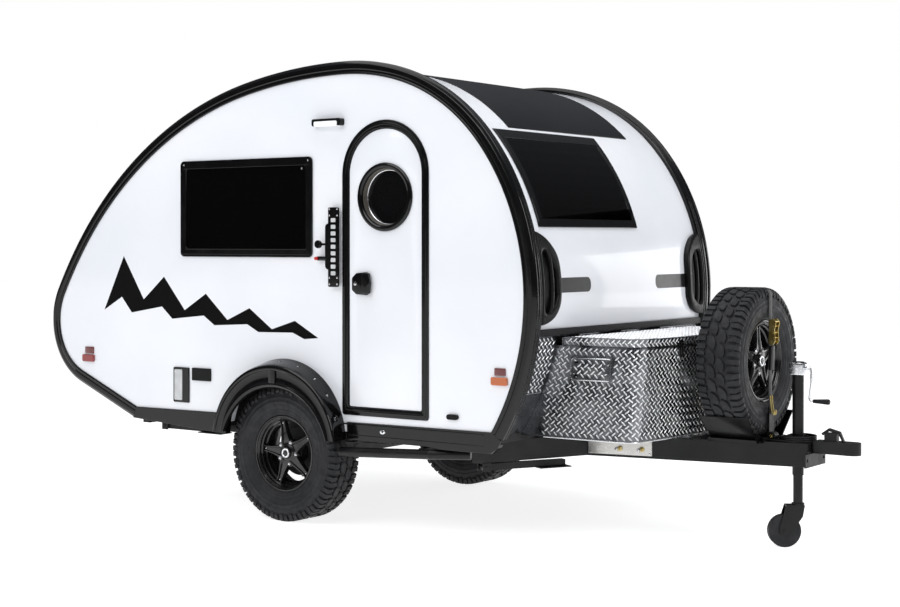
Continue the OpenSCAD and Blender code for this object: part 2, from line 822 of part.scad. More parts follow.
module tongue_box() {
    color("silver") placed() {
        difference() {
            box_block(0, box_base, box_rim);
            box_block(sheet_t, box_base + sheet_t, box_rim + 20);
            body_cut(skin_d + cladding_t + 1);
            box_at(hatch_x[0] - 5, hatch_x[1] + 5, -800, -500, hatch_z[0] - 5, hatch_z[1] + 5);
        }
        difference() {
            upward(box_rim - 12, box_top - sheet_t - 3) polygon(box_plan(box_half, box_front, coaming_in));
            upward(box_rim - 20, box_top) polygon(box_plan(box_half, box_front, coaming_in + sheet_t));
            box_at(1000, box_back_x, -800, 800, box_rim - 20, box_top);
        }
        difference() {
            upward(box_rim - 12, box_rim - 8) polygon(box_plan(box_half, box_front, sheet_t - 1));
            upward(box_rim - 20, box_rim) polygon(box_plan(box_half, box_front, coaming_in + 2));
            body_cut(skin_d + cladding_t + 1);
        }
        box_at(box_back_x - 8, box_back_x - 4, 1 - box_half, box_half - 1, 900, box_top - sheet_t);
        for (y = lid_hinge_y) for (s = [-1, 1]) {
            lid_knuckle(y + s * 60);
            box_at(box_back_x - 8, box_back_x - fit_gap, y + s * 60 - 20, y + s * 60 + 20, box_top - 6, lid_hinge_z);
            box_at(box_back_x - 8, lid_hinge_x, y + s * 60 - 20, y + s * 60 + 20, box_top + fit_gap, lid_hinge_z);
        }
        hatch_place() for (s = [-1, 1]) {
            hatch_knuckle(s * 40);
            box_at(hatch_hinge_x, hatch_hinge_x + 12, -hatch_hinge_out, 1, s * 40 - 14, s * 40 + 14);
        }
        for (x = box_feet_x) box_at(x, x + 50, 60 - tongue_out(x), tongue_out(x) - 60, beam_top + fit_gap, box_base);
    }
}

lid_hinge_x = 1520;
lid_hinge_z = box_top + 4.5;
lid_hinge_y = [-400, 0, 400];
lid_pin_r = 4;
module lid_knuckle(y) {
    translate([lid_hinge_x, y + 30 - fit_gap, lid_hinge_z]) rotate([90, 0, 0])
        cylinder(h = 60 - 2 * fit_gap, r = lid_pin_r, $fn = 32);
}

// The hatch lies in the leaning side of the box, hinged on its front edge.
hatch_mid = (hatch_z[0] + hatch_z[1]) / 2;
side_rise = box_rim - box_base;
side_lean = atan((box_base_half - box_half) / side_rise);
hatch_side = box_half + (box_base_half - box_half) * (box_rim - hatch_mid) / side_rise;
hatch_hinge_x = hatch_x[1] + 3;
hatch_hinge_out = 5;
module hatch_place() {
    translate([0, -hatch_side, hatch_mid]) rotate([-side_lean, 0, 0]) children();
}
module hatch_knuckle(z) {
    translate([hatch_hinge_x, -hatch_hinge_out, z - 20 + fit_gap]) cylinder(h = 40 - 2 * fit_gap, r = 4, $fn = 32);
}

module box_lid() {
    color("silver") placed() {
        difference() {
            upward(box_top - lid_h, box_top) polygon(box_plan(box_half, box_front, 0));
            upward(box_top - lid_h - 1, box_top - sheet_t) polygon(box_plan(box_half, box_front, sheet_t));
            box_at(1000, box_back_x, -800, 800, 0, 2000);
        }
        for (y = lid_hinge_y) {
            lid_knuckle(y);
            box_at(lid_hinge_x, lid_hinge_x + 24, y - 29, y + 29, box_top - 1, box_top + 3);
        }
    }
}

module box_hatch() {
    color("silver") placed() hatch_place() {
        across(0, sheet_t) polygon(round_rect(hatch_x[0], hatch_z[0] - hatch_mid, hatch_x[1], hatch_z[1] - hatch_mid, 14));
        hatch_knuckle(0);
        box_at(hatch_x[1] - 24, hatch_hinge_x, -hatch_hinge_out - 1, 1, -18, 18);
    }
}

cladding_t = 3;
cladding_top = 985;
module front_cladding() {
    color("silver") placed() across(fit_gap + trim_w - wall_y - trim_proud, wall_y + trim_proud - trim_w - fit_gap)
        band_part(skin_d, skin_d + cladding_t, 1200, 2000, 500, cladding_top);
}

module front_strip() {
    color("black") placed() across(fit_gap + trim_w - wall_y - trim_proud, wall_y + trim_proud - trim_w - fit_gap)
        band_part(skin_d, skin_d + 20, 1200, 2000, cladding_top + 3, cladding_top + 37);
}

gas_x = [1450, 1770];
module gas_plate() {
    angle = atan(tongue_slope);
    color("silver") placed() translate([gas_x[0], -tongue_out(gas_x[0]), 0]) rotate([0, 0, angle]) {
        box_at(0, gas_x[1] - gas_x[0], -3 - fit_gap, -fit_gap, beam_z + 10, beam_top - 4);
        for (x = [162, 274]) rod([x, -3, beam_z + 40], [x, -48, beam_z + 40], 11);
    }
}

// ---- jack ----

jack_turn = -144.3;
post_z = 337;
post_top = 816;
fork_top = 206;
module jack_post() {
    color("silver") placed() translate([jack_x, 0, 0]) {
        difference() {
            union() {
                translate([0, 0, post_z]) cylinder(h = post_top - post_z, r = post_r, $fn = 64);
                translate([0, 0, beam_top + plate_t]) cylinder(h = 8, r = 50, $fn = 64);
            }
            translate([0, 0, post_z - 1]) cylinder(h = post_top - post_z - 8, r = inner_r + 0.5, $fn = 64);
        }
        box_at(-36, 38, -31, 31, post_top - 12, post_top + 50);
        rod([38, 0, post_top + 24], [62, 0, post_top + 24], 8);
        box_at(52, 62, -10, 10, 676, post_top + 34);
        rod([62, 0, 686], [156, 0, 686], 13);
    }
}
module jack_inner_tube() {
    color("dimgray") placed() translate([jack_x, 0, fork_top + fit_gap]) cylinder(h = 430, r = inner_r, $fn = 64);
}
fork_in = 26;
module jack_local() {
    placed() translate([jack_x, 0, 0]) rotate([0, 0, jack_turn]) children();
}
module jack_fork() {
    color("dimgray") jack_local() {
        translate([0, 0, fork_top - 8]) cylinder(h = 8, r = fork_in + 4, $fn = 48);
        box_at(-26, 60, -fork_in - 4, fork_in + 4, fork_top - 14, fork_top - 8);
        both_sides() across(fork_in, fork_in + 4) polygon([
            [-26, fork_top - 10], [60, fork_top - 10], [jack_trail + 24, jack_wheel_r + 24], [jack_trail + 24, jack_wheel_r - 14],
            [jack_trail - 20, jack_wheel_r - 20], [-18, fork_top - 60]
        ]);
        translate([jack_trail, fork_in + 8, jack_wheel_r]) rotate([90, 0, 0]) cylinder(h = 2 * fork_in + 16, r = 8, $fn = 48);
    }
}
module jack_wheel() {
    color("black") jack_local() translate([jack_trail, 20, jack_wheel_r]) rotate([90, 0, 0]) difference() {
        cylinder(h = 40, r = jack_wheel_r, $fn = 96);
        translate([0, 0, -1]) cylinder(h = 42, r = 8.3, $fn = 48);
    }
}

// ---- towing cable ----

// The cable leaves the gland, lies in a coil round the jack post and ends in a round plug.
lead_route = [
    [2299, -82, 500.3], [2312, -82, 500.3], [2326, -82.5, 500.3], [2340, -83, 500.3],
    [2353, -83.5, 500.3], [2366, -83.5, 500.3], [2378, -83, 500.3]
];
tail_route = [
    [2378, 83, 520.3], [2365, 83, 518], [2352, 82.5, 514.5], [2340, 80, 510.5], [2329, 74.5, 506], [2320, 66, 502.5],
    [2314.5, 55, 500.6], [2312, 43, 500.3], [2312, 36, 501], [2312, 28, 503.3], [2312, 20, 507], [2312, 12, 513.6],
    [2312, 5, 516.3], [2312, -2, 516.3]
];
coil_turn_r = [73, 83];
plate_top = beam_top + plate_t;
plug_x = 2312;
plug_y = [-64, -14];
plug_r = 21;

function unit(v) = v / norm(v);
function route_dir(p, i) = unit(p[min(i + 1, len(p) - 1)] - p[max(i - 1, 0)]);
module cord_tube(route) {
    sides = 10;
    n = len(route);
    rings = [
        for (i = [0 : n - 1])
            let (t = route_dir(route, i), u = unit(cross([0, 0, 1], t)), v = cross(t, u))
                for (k = [0 : sides - 1]) route[i] + cable_d / 2 * (cos(360 * k / sides) * u + sin(360 * k / sides) * v)
    ];
    walls = [
        for (i = [0 : n - 2], k = [0 : sides - 1])
            let (a = i * sides + k, b = i * sides + (k + 1) % sides)
                each [[a, b + sides, b], [a, a + sides, b + sides]]
    ];
    start = [for (k = [0 : sides - 1]) k];
    stop = [for (k = [sides - 1 : -1 : 0]) (n - 1) * sides + k];
    polyhedron(rings, concat([start], walls, [stop]));
}
module cable_lead() {
    color("black") placed() cord_tube(lead_route);
}
module cable_coil() {
    color("black") placed() translate([jack_x, 0, plate_top + fit_gap]) rotate_extrude($fn = 96)
        translate([coil_turn_r[0] - cable_d / 2, 0]) square([coil_turn_r[1] - coil_turn_r[0] + cable_d, 3 * cable_d]);
}
module cable_tail() {
    color("black") placed() cord_tube(tail_route);
}
module cable_plug() {
    color("black") placed() translate([plug_x, 0, plate_top + fit_gap + plug_r]) rotate([90, 0, 0]) {
        translate([0, 0, -plug_y[1]]) cylinder(h = plug_y[1] - plug_y[0], r = plug_r, $fn = 64);
        translate([0, 0, 2]) cylinder(h = -plug_y[1] - 1, r = cable_d / 2 + 3, $fn = 48);
    }
}

// ---- corner stabilisers ----

leg_w = 38;
leg_t = 30;
pin_r = 7;
front_pivot = [1185, 800, 364];
front_leg_turn = -61;
front_leg_len = 430;
rear_pivot = [-1012, 700, 410];
rear_leg_len = 420;

module leg_at(pivot, turn) {
    placed() translate(pivot) rotate([0, 0, turn]) children();
}
// The leg reaches along +X from its pin, with the foot plate at its end.
module leg(len) {
    difference() {
        across(-leg_w / 2, leg_w / 2) union() {
            circle(r = leg_t / 2, $fn = 48);
            translate([0, -leg_t / 2]) square([len, leg_t]);
        }
        translate([0, leg_w, 0]) rotate([90, 0, 0]) cylinder(h = 2 * leg_w, r = pin_r + 0.3, $fn = 48);
    }
    box_at(len - 150, len + 20, -45, 45, -leg_t / 2 - 5, -leg_t / 2);
}
// Ears and pin that carry the leg, hung from a surface at the given height above the pin.
module leg_mount(up) {
    for (s = [-1, 1]) translate([0, s * (leg_w / 2 + 8), 0]) box_at(-20, 24, -3, 3, -20, up);
    translate([0, leg_w / 2 + 14, 0]) rotate([90, 0, 0]) cylinder(h = leg_w + 28, r = pin_r, $fn = 48);
    box_at(-20, 24, -leg_w / 2 - 11, leg_w / 2 + 11, up - 4, up);
}
module stabiliser_mounts() {
    color("dimgray") both_sides() {
        leg_at(front_pivot, front_leg_turn) leg_mount(beam_z - front_pivot[2] - fit_gap);
        leg_at(rear_pivot, 0) leg_mount(beam_top - outrigger_h - rear_pivot[2] - fit_gap);
    }
}
module front_right_leg() {
    color("dimgray") mirror([0, 1, 0]) leg_at(front_pivot, front_leg_turn) leg(front_leg_len);
}
module front_left_leg() {
    color("dimgray") leg_at(front_pivot, front_leg_turn) leg(front_leg_len);
}
module rear_right_leg() {
    color("dimgray") mirror([0, 1, 0]) leg_at(rear_pivot, 0) leg(rear_leg_len);
}
module rear_left_leg() {
    color("dimgray") leg_at(rear_pivot, 0) leg(rear_leg_len);
}

// ---- lamps and fittings ----

module side_plate(x0, z0, x1, z1, r, t) {
    across(wall_y, wall_y + t) polygon(round_rect(x0, z0, x1, z1, r));
}

module amber_lamps() {
    color("orange") placed() both_sides() {
        side_plate(1302, 807, 1363, 842, 4, 6);
        side_plate(1285, 762, 1375, 800, 8, 14);
    }
}

tail_lamp_z = [860, 1010];
module red_lamps() {
    color("red") placed() both_sides() {
        side_plate(-1482, 802, -1414, 839, 4, 6);
        side_plate(-1499, 756, -1407, 796, 8, 14);
        across(590, 720) band_part(skin_d, skin_d + 22, -2000, -1400, tail_lamp_z[0], tail_lamp_z[1]);
    }
}

module utility_panel() {
    color("gainsboro") placed() mirror([0, 1, 0]) side_plate(-784, 568, -668, 756, 6, 9);
}

module side_fittings() {
    color("black") placed() {
        mirror([0, 1, 0]) {
            side_plate(-645, 690, -510, 757, 5, 9);
            side_plate(1032, 587, 1096, 612, 12, 14);
            side_plate(214, 2006, 399, 2042, 10, 34);
        }
        across(-170, 170) band_part(skin_d, skin_d + 6, -2000, -1400, 860, 1020);
    }
}

module tool_bracket() {
    color("black") placed() mirror([0, 1, 0]) {
        side_plate(292, 1290, 350, 1520, 20, 22);
        across(wall_y + 22, wall_y + 30) polygon(round_rect(318, 1204, 384, 1600, 8));
        rod([300, wall_y + 12, 1345], [236, wall_y + 12, 1345], 11);
    }
}

chassis_frame();
tongue_beams();
coupler();
axle();
floor_panel();
right_wall();
left_wall();
roof_panel();
front_wall();
rear_wall();
right_trim();
left_trim();
sills();
door();
door_frame();
porthole_ring();
porthole_glass();
door_latch();
window_frames();
window_panes();
solar_panel();
roof_vent();
grab_handles();
right_tyre();
right_rim();
left_tyre();
left_rim();
right_flare();
left_flare();
step_bars();
tongue_box();
box_lid();
box_hatch();
front_cladding();
front_strip();
gas_plate();
spare_tyre();
spare_rim();
spare_carrier();
spare_strap();
jack_post();
jack_inner_tube();
jack_fork();
jack_wheel();
cable_lead();
cable_coil();
cable_tail();
cable_plug();
stabiliser_mounts();
front_right_leg();
front_left_leg();
rear_right_leg();
rear_left_leg();
amber_lamps();
red_lamps();
utility_panel();
side_fittings();
tool_bracket();
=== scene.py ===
# %% [markdown]
# # A teardrop camping trailer
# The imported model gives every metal, plastic and rubber part its place. This notebook loads it as a
# fixed frame and dresses it: finishes for the plain plates, and finer pieces where a rubber tread,
# a rolled edge or a moulded lens needs more shape than the construction model holds.

# %% Load the fixed frame
import json
import math
import bmesh
import bpy
from mathutils import Matrix, Vector
from mathutils.geometry import tessellate_polygon


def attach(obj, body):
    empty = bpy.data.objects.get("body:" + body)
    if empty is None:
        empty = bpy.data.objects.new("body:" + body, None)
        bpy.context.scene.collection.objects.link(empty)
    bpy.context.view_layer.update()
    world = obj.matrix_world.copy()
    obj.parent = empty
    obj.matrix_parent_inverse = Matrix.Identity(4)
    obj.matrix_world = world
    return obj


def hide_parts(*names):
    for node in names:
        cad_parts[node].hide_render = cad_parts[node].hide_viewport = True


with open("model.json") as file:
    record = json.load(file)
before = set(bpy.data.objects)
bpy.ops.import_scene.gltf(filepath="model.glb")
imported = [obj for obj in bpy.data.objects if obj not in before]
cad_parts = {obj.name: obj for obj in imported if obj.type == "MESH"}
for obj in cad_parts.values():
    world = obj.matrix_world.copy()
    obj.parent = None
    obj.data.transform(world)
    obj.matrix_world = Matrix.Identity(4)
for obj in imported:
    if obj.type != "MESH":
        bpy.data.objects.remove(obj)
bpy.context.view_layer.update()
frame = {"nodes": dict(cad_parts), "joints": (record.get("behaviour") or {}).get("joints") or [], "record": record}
nodes = frame["nodes"]
joints = {joint["name"]: joint for joint in frame["joints"]}
axle_x = joints["right_wheel_spin"]["pos_m"][0]

# %% [markdown]
# The camera stands low and to the right of the nose, far enough for a long lens, so the upright
# edges of the body stay upright. A small vertical shift keeps them so while the trailer sits in
# the middle of the picture.

# %% The camera
CAMERA_AT = (axle_x + 5.5745, -7.1866, 1.426)
CAMERA_TURN = 35.69
CAMERA_DIP = 0.33
camera_data = bpy.data.cameras.new("camera")
camera_data.lens = 65.59
camera_data.sensor_width = 36
camera_data.shift_y = -0.0575
camera = bpy.data.objects.new("camera", camera_data)
camera.location = CAMERA_AT
camera.rotation_euler = (math.radians(90 - CAMERA_DIP), 0, math.radians(CAMERA_TURN))
bpy.context.scene.collection.objects.link(camera)
bpy.context.scene.camera = camera

# %% [markdown]
# Gloss black shows nothing but what it mirrors. So the room is dim at the sides with a broad soft
# panel overhead and one on each side of the camera: black edges get thin bright lines, and the
# white walls stay even. Only the camera sees the backdrop as white.

# %% The studio
def area_light(name, place, aim, width, height, power):
    """A soft panel at one point that faces another."""
    data = bpy.data.lights.new(name, "AREA")
    data.shape = "RECTANGLE"
    data.size = width
    data.size_y = height
    data.energy = power
    light = bpy.data.objects.new(name, data)
    light.location = place
    direction = Vector(aim) - Vector(place)
    light.rotation_euler = direction.to_track_quat("-Z", "Y").to_euler()
    bpy.context.scene.collection.objects.link(light)
    return light


area_light("overhead_panel", (0.3, -0.6, 5.6), (0.2, 0.0, 0.0), 6.5, 4.5, 188)
area_light("side_panel", (-1.2, -6.4, 5.4), (-0.2, 0.0, 0.9), 5.5, 2.6, 162)
area_light("nose_panel", (7.0, -0.6, 4.4), (0.8, 0.0, 1.0), 3.4, 2.6, 150)
area_light("far_panel", (2.5, 7.2, 1.5), (0.0, 0.0, 1.0), 5.0, 2.2, 100)

world = bpy.data.worlds.new("studio")
world.use_nodes = True
bpy.context.scene.world = world
room = world.node_tree.nodes
wires = world.node_tree.links
room.clear()


def backdrop(strength, shade=(1, 1, 1, 1)):
    made = room.new("ShaderNodeBackground")
    made.inputs["Color"].default_value = shade
    made.inputs["Strength"].default_value = strength
    return made


direction = room.new("ShaderNodeTexCoord")
height = room.new("ShaderNodeSeparateXYZ")
wires.new(direction.outputs["Generated"], height.inputs[0])
ramp = room.new("ShaderNodeValToRGB")
ramp.color_ramp.elements[0].position = 0.02
ramp.color_ramp.elements[0].color = (0.02, 0.021, 0.022, 1)
ramp.color_ramp.elements[1].position = 0.85
ramp.color_ramp.elements[1].color = (0.22, 0.23, 0.25, 1)
wires.new(height.outputs["Z"], ramp.inputs["Fac"])
white_room, soft_fill, mirrored = backdrop(1.0), backdrop(0.36, (0.93, 0.96, 1.0, 1)), backdrop(1.0)
wires.new(ramp.outputs["Color"], mirrored.inputs["Color"])
seen = room.new("ShaderNodeLightPath")
glossy_mix, camera_mix = room.new("ShaderNodeMixShader"), room.new("ShaderNodeMixShader")
wires.new(seen.outputs["Is Glossy Ray"], glossy_mix.inputs["Fac"])
wires.new(soft_fill.outputs[0], glossy_mix.inputs[1])
wires.new(mirrored.outputs[0], glossy_mix.inputs[2])
wires.new(seen.outputs["Is Camera Ray"], camera_mix.inputs["Fac"])
wires.new(glossy_mix.outputs[0], camera_mix.inputs[1])
wires.new(white_room.outputs[0], camera_mix.inputs[2])
sky_out = room.new("ShaderNodeOutputWorld")
wires.new(camera_mix.outputs[0], sky_out.inputs["Surface"])
bpy.context.scene.view_settings.view_transform = "Standard"

# %% The floor
floor_mesh = bpy.data.meshes.new("studio_floor")
floor_mesh.from_pydata([(-40, -40, 0), (40, -40, 0), (40, 40, 0), (-40, 40, 0)], [], [(0, 1, 2, 3)])
studio_floor = bpy.data.objects.new("studio_floor", floor_mesh)
bpy.context.scene.collection.objects.link(studio_floor)
floor_paint = bpy.data.materials.new("pale_floor")
floor_paint.use_nodes = True
floor_shader = floor_paint.node_tree.nodes["Principled BSDF"]
floor_shader.inputs["Base Color"].default_value = (0.62, 0.62, 0.62, 1)
floor_shader.inputs["Roughness"].default_value = 0.9
floor_shader.inputs["Emission Color"].default_value = (1, 1, 1, 1)
floor_shader.inputs["Emission Strength"].default_value = 0.82
floor_mesh.materials.append(floor_paint)

# %% [markdown]
# ## Finishes
# Each finish is one Principled shader. What is the same all over is set on its sockets; what
# varies, such as orange peel in paint, grain in moulded plastic or scratches in aluminium, comes
# from noise on the piece's own coordinates, wired into colour, roughness or bump.

# %% A helper for finishes
class Finish:
    """A Principled material with shortcuts for the patterns that real surfaces show."""

    def __init__(self, name, colour, roughness, metallic=0.0, coat=0.0, specular=0.5):
        self.material = bpy.data.materials.new(name)
        self.material.use_nodes = True
        self.tree = self.material.node_tree
        self.shader = self.tree.nodes["Principled BSDF"]
        self.set("Base Color", (*colour, 1))
        self.set("Roughness", roughness)
        self.set("Metallic", metallic)
        self.set("Specular IOR Level", specular)
        if coat:
            self.set("Coat Weight", coat)
            self.set("Coat Roughness", 0.04)
        self.coords = self.tree.nodes.new("ShaderNodeTexCoord")
        self.last_normal = None

    def set(self, socket, value):
        self.shader.inputs[socket].default_value = value
        return self

    def node(self, kind, **inputs):
        made = self.tree.nodes.new(kind)
        for key, value in inputs.items():
            made.inputs[key.replace("_", " ")].default_value = value
        return made

    def wire(self, source, target):
        self.tree.links.new(source, target)

    def noise(self, scale, detail=4.0, stretch=(1, 1, 1)):
        """Noise on the piece's own coordinates, stretched along an axis if asked."""
        mapping = self.node("ShaderNodeMapping")
        mapping.inputs["Scale"].default_value = stretch
        texture = self.node("ShaderNodeTexNoise", Scale=scale, Detail=detail)
        self.wire(self.coords.outputs["Object"], mapping.inputs["Vector"])
        self.wire(mapping.outputs["Vector"], texture.inputs["Vector"])
        return texture.outputs["Fac"]

    def spread(self, source, low, high, start=0.35, stop=0.65):
        """Maps a pattern to a range of numbers."""
        ranged = self.node("ShaderNodeMapRange")
        ranged.inputs["From Min"].default_value = start
        ranged.inputs["From Max"].default_value = stop
        ranged.inputs["To Min"].default_value = low
        ranged.inputs["To Max"].default_value = high
        self.wire(source, ranged.inputs["Value"])
        return ranged.outputs["Result"]

    def vary_roughness(self, scale, low, high, stretch=(1, 1, 1)):
        self.wire(self.spread(self.noise(scale, 5, stretch), low, high), self.shader.inputs["Roughness"])
        return self

    def vary_colour(self, scale, dark, light, stretch=(1, 1, 1), detail=4):
        mixed = self.node("ShaderNodeMix")
        mixed.data_type = "RGBA"
        mixed.inputs[6].default_value = (*dark, 1)
        mixed.inputs[7].default_value = (*light, 1)
        self.wire(self.spread(self.noise(scale, detail, stretch), 0, 1), mixed.inputs[0])
        self.wire(mixed.outputs[2], self.shader.inputs["Base Color"])
        return self

    def bump(self, source, depth, strength=1.0):
        """Adds a height pattern, in metres, on top of any earlier one."""
        bump = self.node("ShaderNodeBump", Distance=depth, Strength=strength)
        self.wire(source, bump.inputs["Height"])
        if self.last_normal:
            self.wire(self.last_normal, bump.inputs["Normal"])
        self.last_normal = bump.outputs["Normal"]
        self.wire(self.last_normal, self.shader.inputs["Normal"])
        return self

    def grain(self, scale, depth, stretch=(1, 1, 1), detail=3):
        return self.bump(self.noise(scale, detail, stretch), depth)


# %% Painted and moulded finishes
shell_white = Finish("shell_white", (0.83, 0.85, 0.89), 0.2, coat=0.5)
shell_white.vary_colour(1.3, (0.80, 0.82, 0.87), (0.86, 0.875, 0.91))
shell_white.vary_roughness(3.0, 0.16, 0.26)
shell_white.grain(260, 0.00004)

edge_black = Finish("edge_black", (0.003, 0.003, 0.0033), 0.16, coat=0.3, specular=0.22)
edge_black.vary_roughness(8.0, 0.13, 0.22)
edge_black.grain(300, 0.00003)

frame_black = Finish("frame_black", (0.006, 0.006, 0.0065), 0.4, coat=0.08, specular=0.25)
frame_black.vary_colour(5.0, (0.004, 0.004, 0.0045), (0.008, 0.008, 0.009))
frame_black.vary_roughness(14.0, 0.34, 0.5)
frame_black.grain(420, 0.00012)

moulded_black = Finish("moulded_black", (0.004, 0.004, 0.0043), 0.3, coat=0.06, specular=0.16)
moulded_black.vary_roughness(9.0, 0.32, 0.46)
moulded_black.grain(700, 0.0001)

gloss_plastic = Finish("gloss_plastic", (0.003, 0.003, 0.0033), 0.14, coat=0.35, specular=0.2)
gloss_plastic.vary_roughness(12.0, 0.1, 0.2)

satin_plastic = Finish("satin_plastic", (0.008, 0.008, 0.0087), 0.42, specular=0.2)
satin_plastic.vary_colour(30.0, (0.006, 0.006, 0.0066), (0.010, 0.010, 0.0112))
satin_plastic.grain(900, 0.00012)

panel_grey = Finish("panel_grey", (0.55, 0.56, 0.57), 0.4)
panel_grey.vary_colour(16.0, (0.5, 0.51, 0.52), (0.6, 0.61, 0.62))
panel_grey.grain(500, 0.00008)

vent_white = Finish("vent_white", (0.8, 0.81, 0.82), 0.35)
vent_white.vary_roughness(10.0, 0.3, 0.42)

decal_black = Finish("decal_black", (0.003, 0.003, 0.003), 0.5, specular=0.06)
decal_black.vary_roughness(20.0, 0.44, 0.56)

stripe_grey = Finish("stripe_grey", (0.013, 0.0135, 0.015), 0.32, coat=0.2, specular=0.3)
stripe_grey.vary_roughness(20.0, 0.28, 0.38)

# %% Glass, lenses and the solar film
dark_glass = Finish("dark_glass", (0.002, 0.002, 0.0021), 0.03, coat=0.06, specular=0.1)
dark_glass.vary_roughness(2.0, 0.02, 0.05)
dark_glass.set("Alpha", 0.94)

porthole_clear = Finish("porthole_clear", (0.004, 0.004, 0.0045), 0.03, coat=0.4)
porthole_clear.vary_roughness(3.0, 0.02, 0.05)
porthole_clear.set("Alpha", 0.9)

reveal_bronze = Finish("reveal_bronze", (0.17, 0.155, 0.135), 0.32, metallic=0.35)
reveal_bronze.vary_roughness(24.0, 0.26, 0.4)


def lens(name, colour, glow):
    """A plastic lens: clear skin over a coloured, slightly lit body."""
    made = Finish(name, colour, 0.12, coat=1.0)
    made.set("Subsurface Weight", 0.25)
    made.set("Subsurface Radius", (0.01, 0.004, 0.002))
    made.set("Emission Color", (*colour, 1))
    made.set("Emission Strength", glow)
    return made.vary_roughness(30.0, 0.08, 0.2)


red_lens = lens("red_lens", (0.24, 0.006, 0.005), 0.01)
dark_red_lens = lens("dark_red_lens", (0.12, 0.004, 0.004), 0.02)
amber_lens = lens("amber_lens", (0.48, 0.10, 0.006), 0.02)

lamp_white = Finish("lamp_white", (0.75, 0.76, 0.78), 0.2, coat=0.6)
lamp_white.set("Emission Color", (1, 1, 1, 1)).set("Emission Strength", 0.25)
lamp_white.vary_roughness(20.0, 0.15, 0.25)

solar_film = Finish("solar_film", (0.006, 0.0065, 0.0075), 0.24, coat=0.1, specular=0.2)
solar_film.vary_colour(2.0, (0.005, 0.0052, 0.006), (0.009, 0.0095, 0.011))
solar_film.grain(90, 0.0002)

# %% Metals, rubber and cloth
bright_zinc = Finish("bright_zinc", (0.72, 0.73, 0.75), 0.2, metallic=1.0)
bright_zinc.vary_roughness(60.0, 0.14, 0.3)
bright_zinc.grain(500, 0.00005)

stainless = Finish("stainless", (0.56, 0.55, 0.53), 0.3, metallic=1.0)
stainless.vary_roughness(30.0, 0.24, 0.4, stretch=(1, 1, 14))
stainless.grain(220, 0.00006, stretch=(1, 1, 22))

gold_zinc = Finish("gold_zinc", (0.62, 0.47, 0.16), 0.28, metallic=1.0)
gold_zinc.vary_colour(40.0, (0.5, 0.36, 0.1), (0.72, 0.6, 0.26))
gold_zinc.grain(300, 0.0001)

plate_alloy = Finish("plate_alloy", (0.28, 0.285, 0.30), 0.24, metallic=1.0)
plate_alloy.vary_colour(6.0, (0.20, 0.205, 0.215), (0.36, 0.365, 0.38))
plate_alloy.vary_roughness(18.0, 0.2, 0.34)
plate_alloy.grain(240, 0.00012, stretch=(1, 1, 3))

# A darker copy of plate_alloy for the tread plate on the nose behind the box: painted shade, for the shadow of the
# box and the dark frame it mirrors.
plate_in_painted_shade = Finish("plate_in_painted_shade", (0.09, 0.092, 0.098), 0.3, metallic=1.0)
plate_in_painted_shade.vary_colour(6.0, (0.065, 0.068, 0.072), (0.12, 0.122, 0.13))
plate_in_painted_shade.vary_roughness(18.0, 0.24, 0.4)
plate_in_painted_shade.grain(240, 0.00012, stretch=(1, 1, 3))

lug_alloy = Finish("lug_alloy", (0.92, 0.93, 0.95), 0.36, metallic=1.0)
lug_alloy.vary_roughness(80.0, 0.3, 0.45)

wheel_black = Finish("wheel_black", (0.005, 0.005, 0.0055), 0.24, coat=0.4, specular=0.35)
wheel_black.vary_roughness(20.0, 0.2, 0.32)
wheel_black.grain(260, 0.00005)

tyre_rubber = Finish("tyre_rubber", (0.018, 0.018, 0.020), 0.6, specular=0.25)
tyre_rubber.vary_colour(18.0, (0.013, 0.0135, 0.015), (0.024, 0.0245, 0.027))
tyre_rubber.vary_roughness(40.0, 0.5, 0.72)
tyre_rubber.grain(700, 0.0002)

webbing = Finish("webbing", (0.02, 0.02, 0.021), 0.75)
webbing.grain(900, 0.0004, stretch=(3, 1, 1))
webbing.set("Sheen Weight", 0.25)

under_black = Finish("under_black", (0.012, 0.012, 0.013), 0.7)
under_black.vary_roughness(20.0, 0.6, 0.8)
under_black.grain(200, 0.0003)

red_mark = Finish("red_mark", (0.5, 0.02, 0.02), 0.35)
red_mark.vary_roughness(30.0, 0.3, 0.4)
print("finishes", len(bpy.data.materials))

# %% [markdown]
# ## Making pieces
# Sizes are in millimetres from the axle, as a drawing would give them: x forward, y to the left,
# z up. `spot` turns such a point into the frame's metres. Every piece goes through `add_piece`,
# which gives it its finish, its body and the plain parts that it stands for.

# %% Points and pieces
def spot(x, y, z):
    """A drawing point in millimetres, as a point of the frame in metres."""
    return Vector((axle_x + x / 1000, y / 1000, z / 1000))


def add_piece(name, mesh, finishes, body="trailer", stands_for=(), slot="frame_black", corner=30):
    """Makes an object of a finished mesh with its finishes and smooth shading, sets it on its body and hides the
    plain parts it stands for.
    """
    for finish in finishes if isinstance(finishes, (list, tuple)) else [finishes]:
        mesh.materials.append(finish.material)
    mesh.polygons.foreach_set("use_smooth", [True] * len(mesh.polygons))
    mesh.set_sharp_from_angle(angle=math.radians(corner))
    made = bpy.data.objects.new(name, mesh)
    bpy.context.scene.collection.objects.link(made)
    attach(made, body)
    if stands_for:
        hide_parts(*stands_for)
    return made


def mesh_of(name, points, faces, finish_numbers=None):
    """A mesh from points and faces, with doubles merged and faces turned outwards."""
    work = bmesh.new()
    corners = [work.verts.new(point) for point in points]
    for number, face in enumerate(faces):
        try:
            made = work.faces.new([corners[i] for i in face])
            if finish_numbers:
                made.material_index = finish_numbers[number]
        except ValueError:
            pass
    bmesh.ops.remove_doubles(work, verts=work.verts, dist=1e-5)
    bmesh.ops.recalc_face_normals(work, faces=work.faces)
    mesh = bpy.data.meshes.new(name)
    work.to_mesh(mesh)
    work.free()
    return mesh


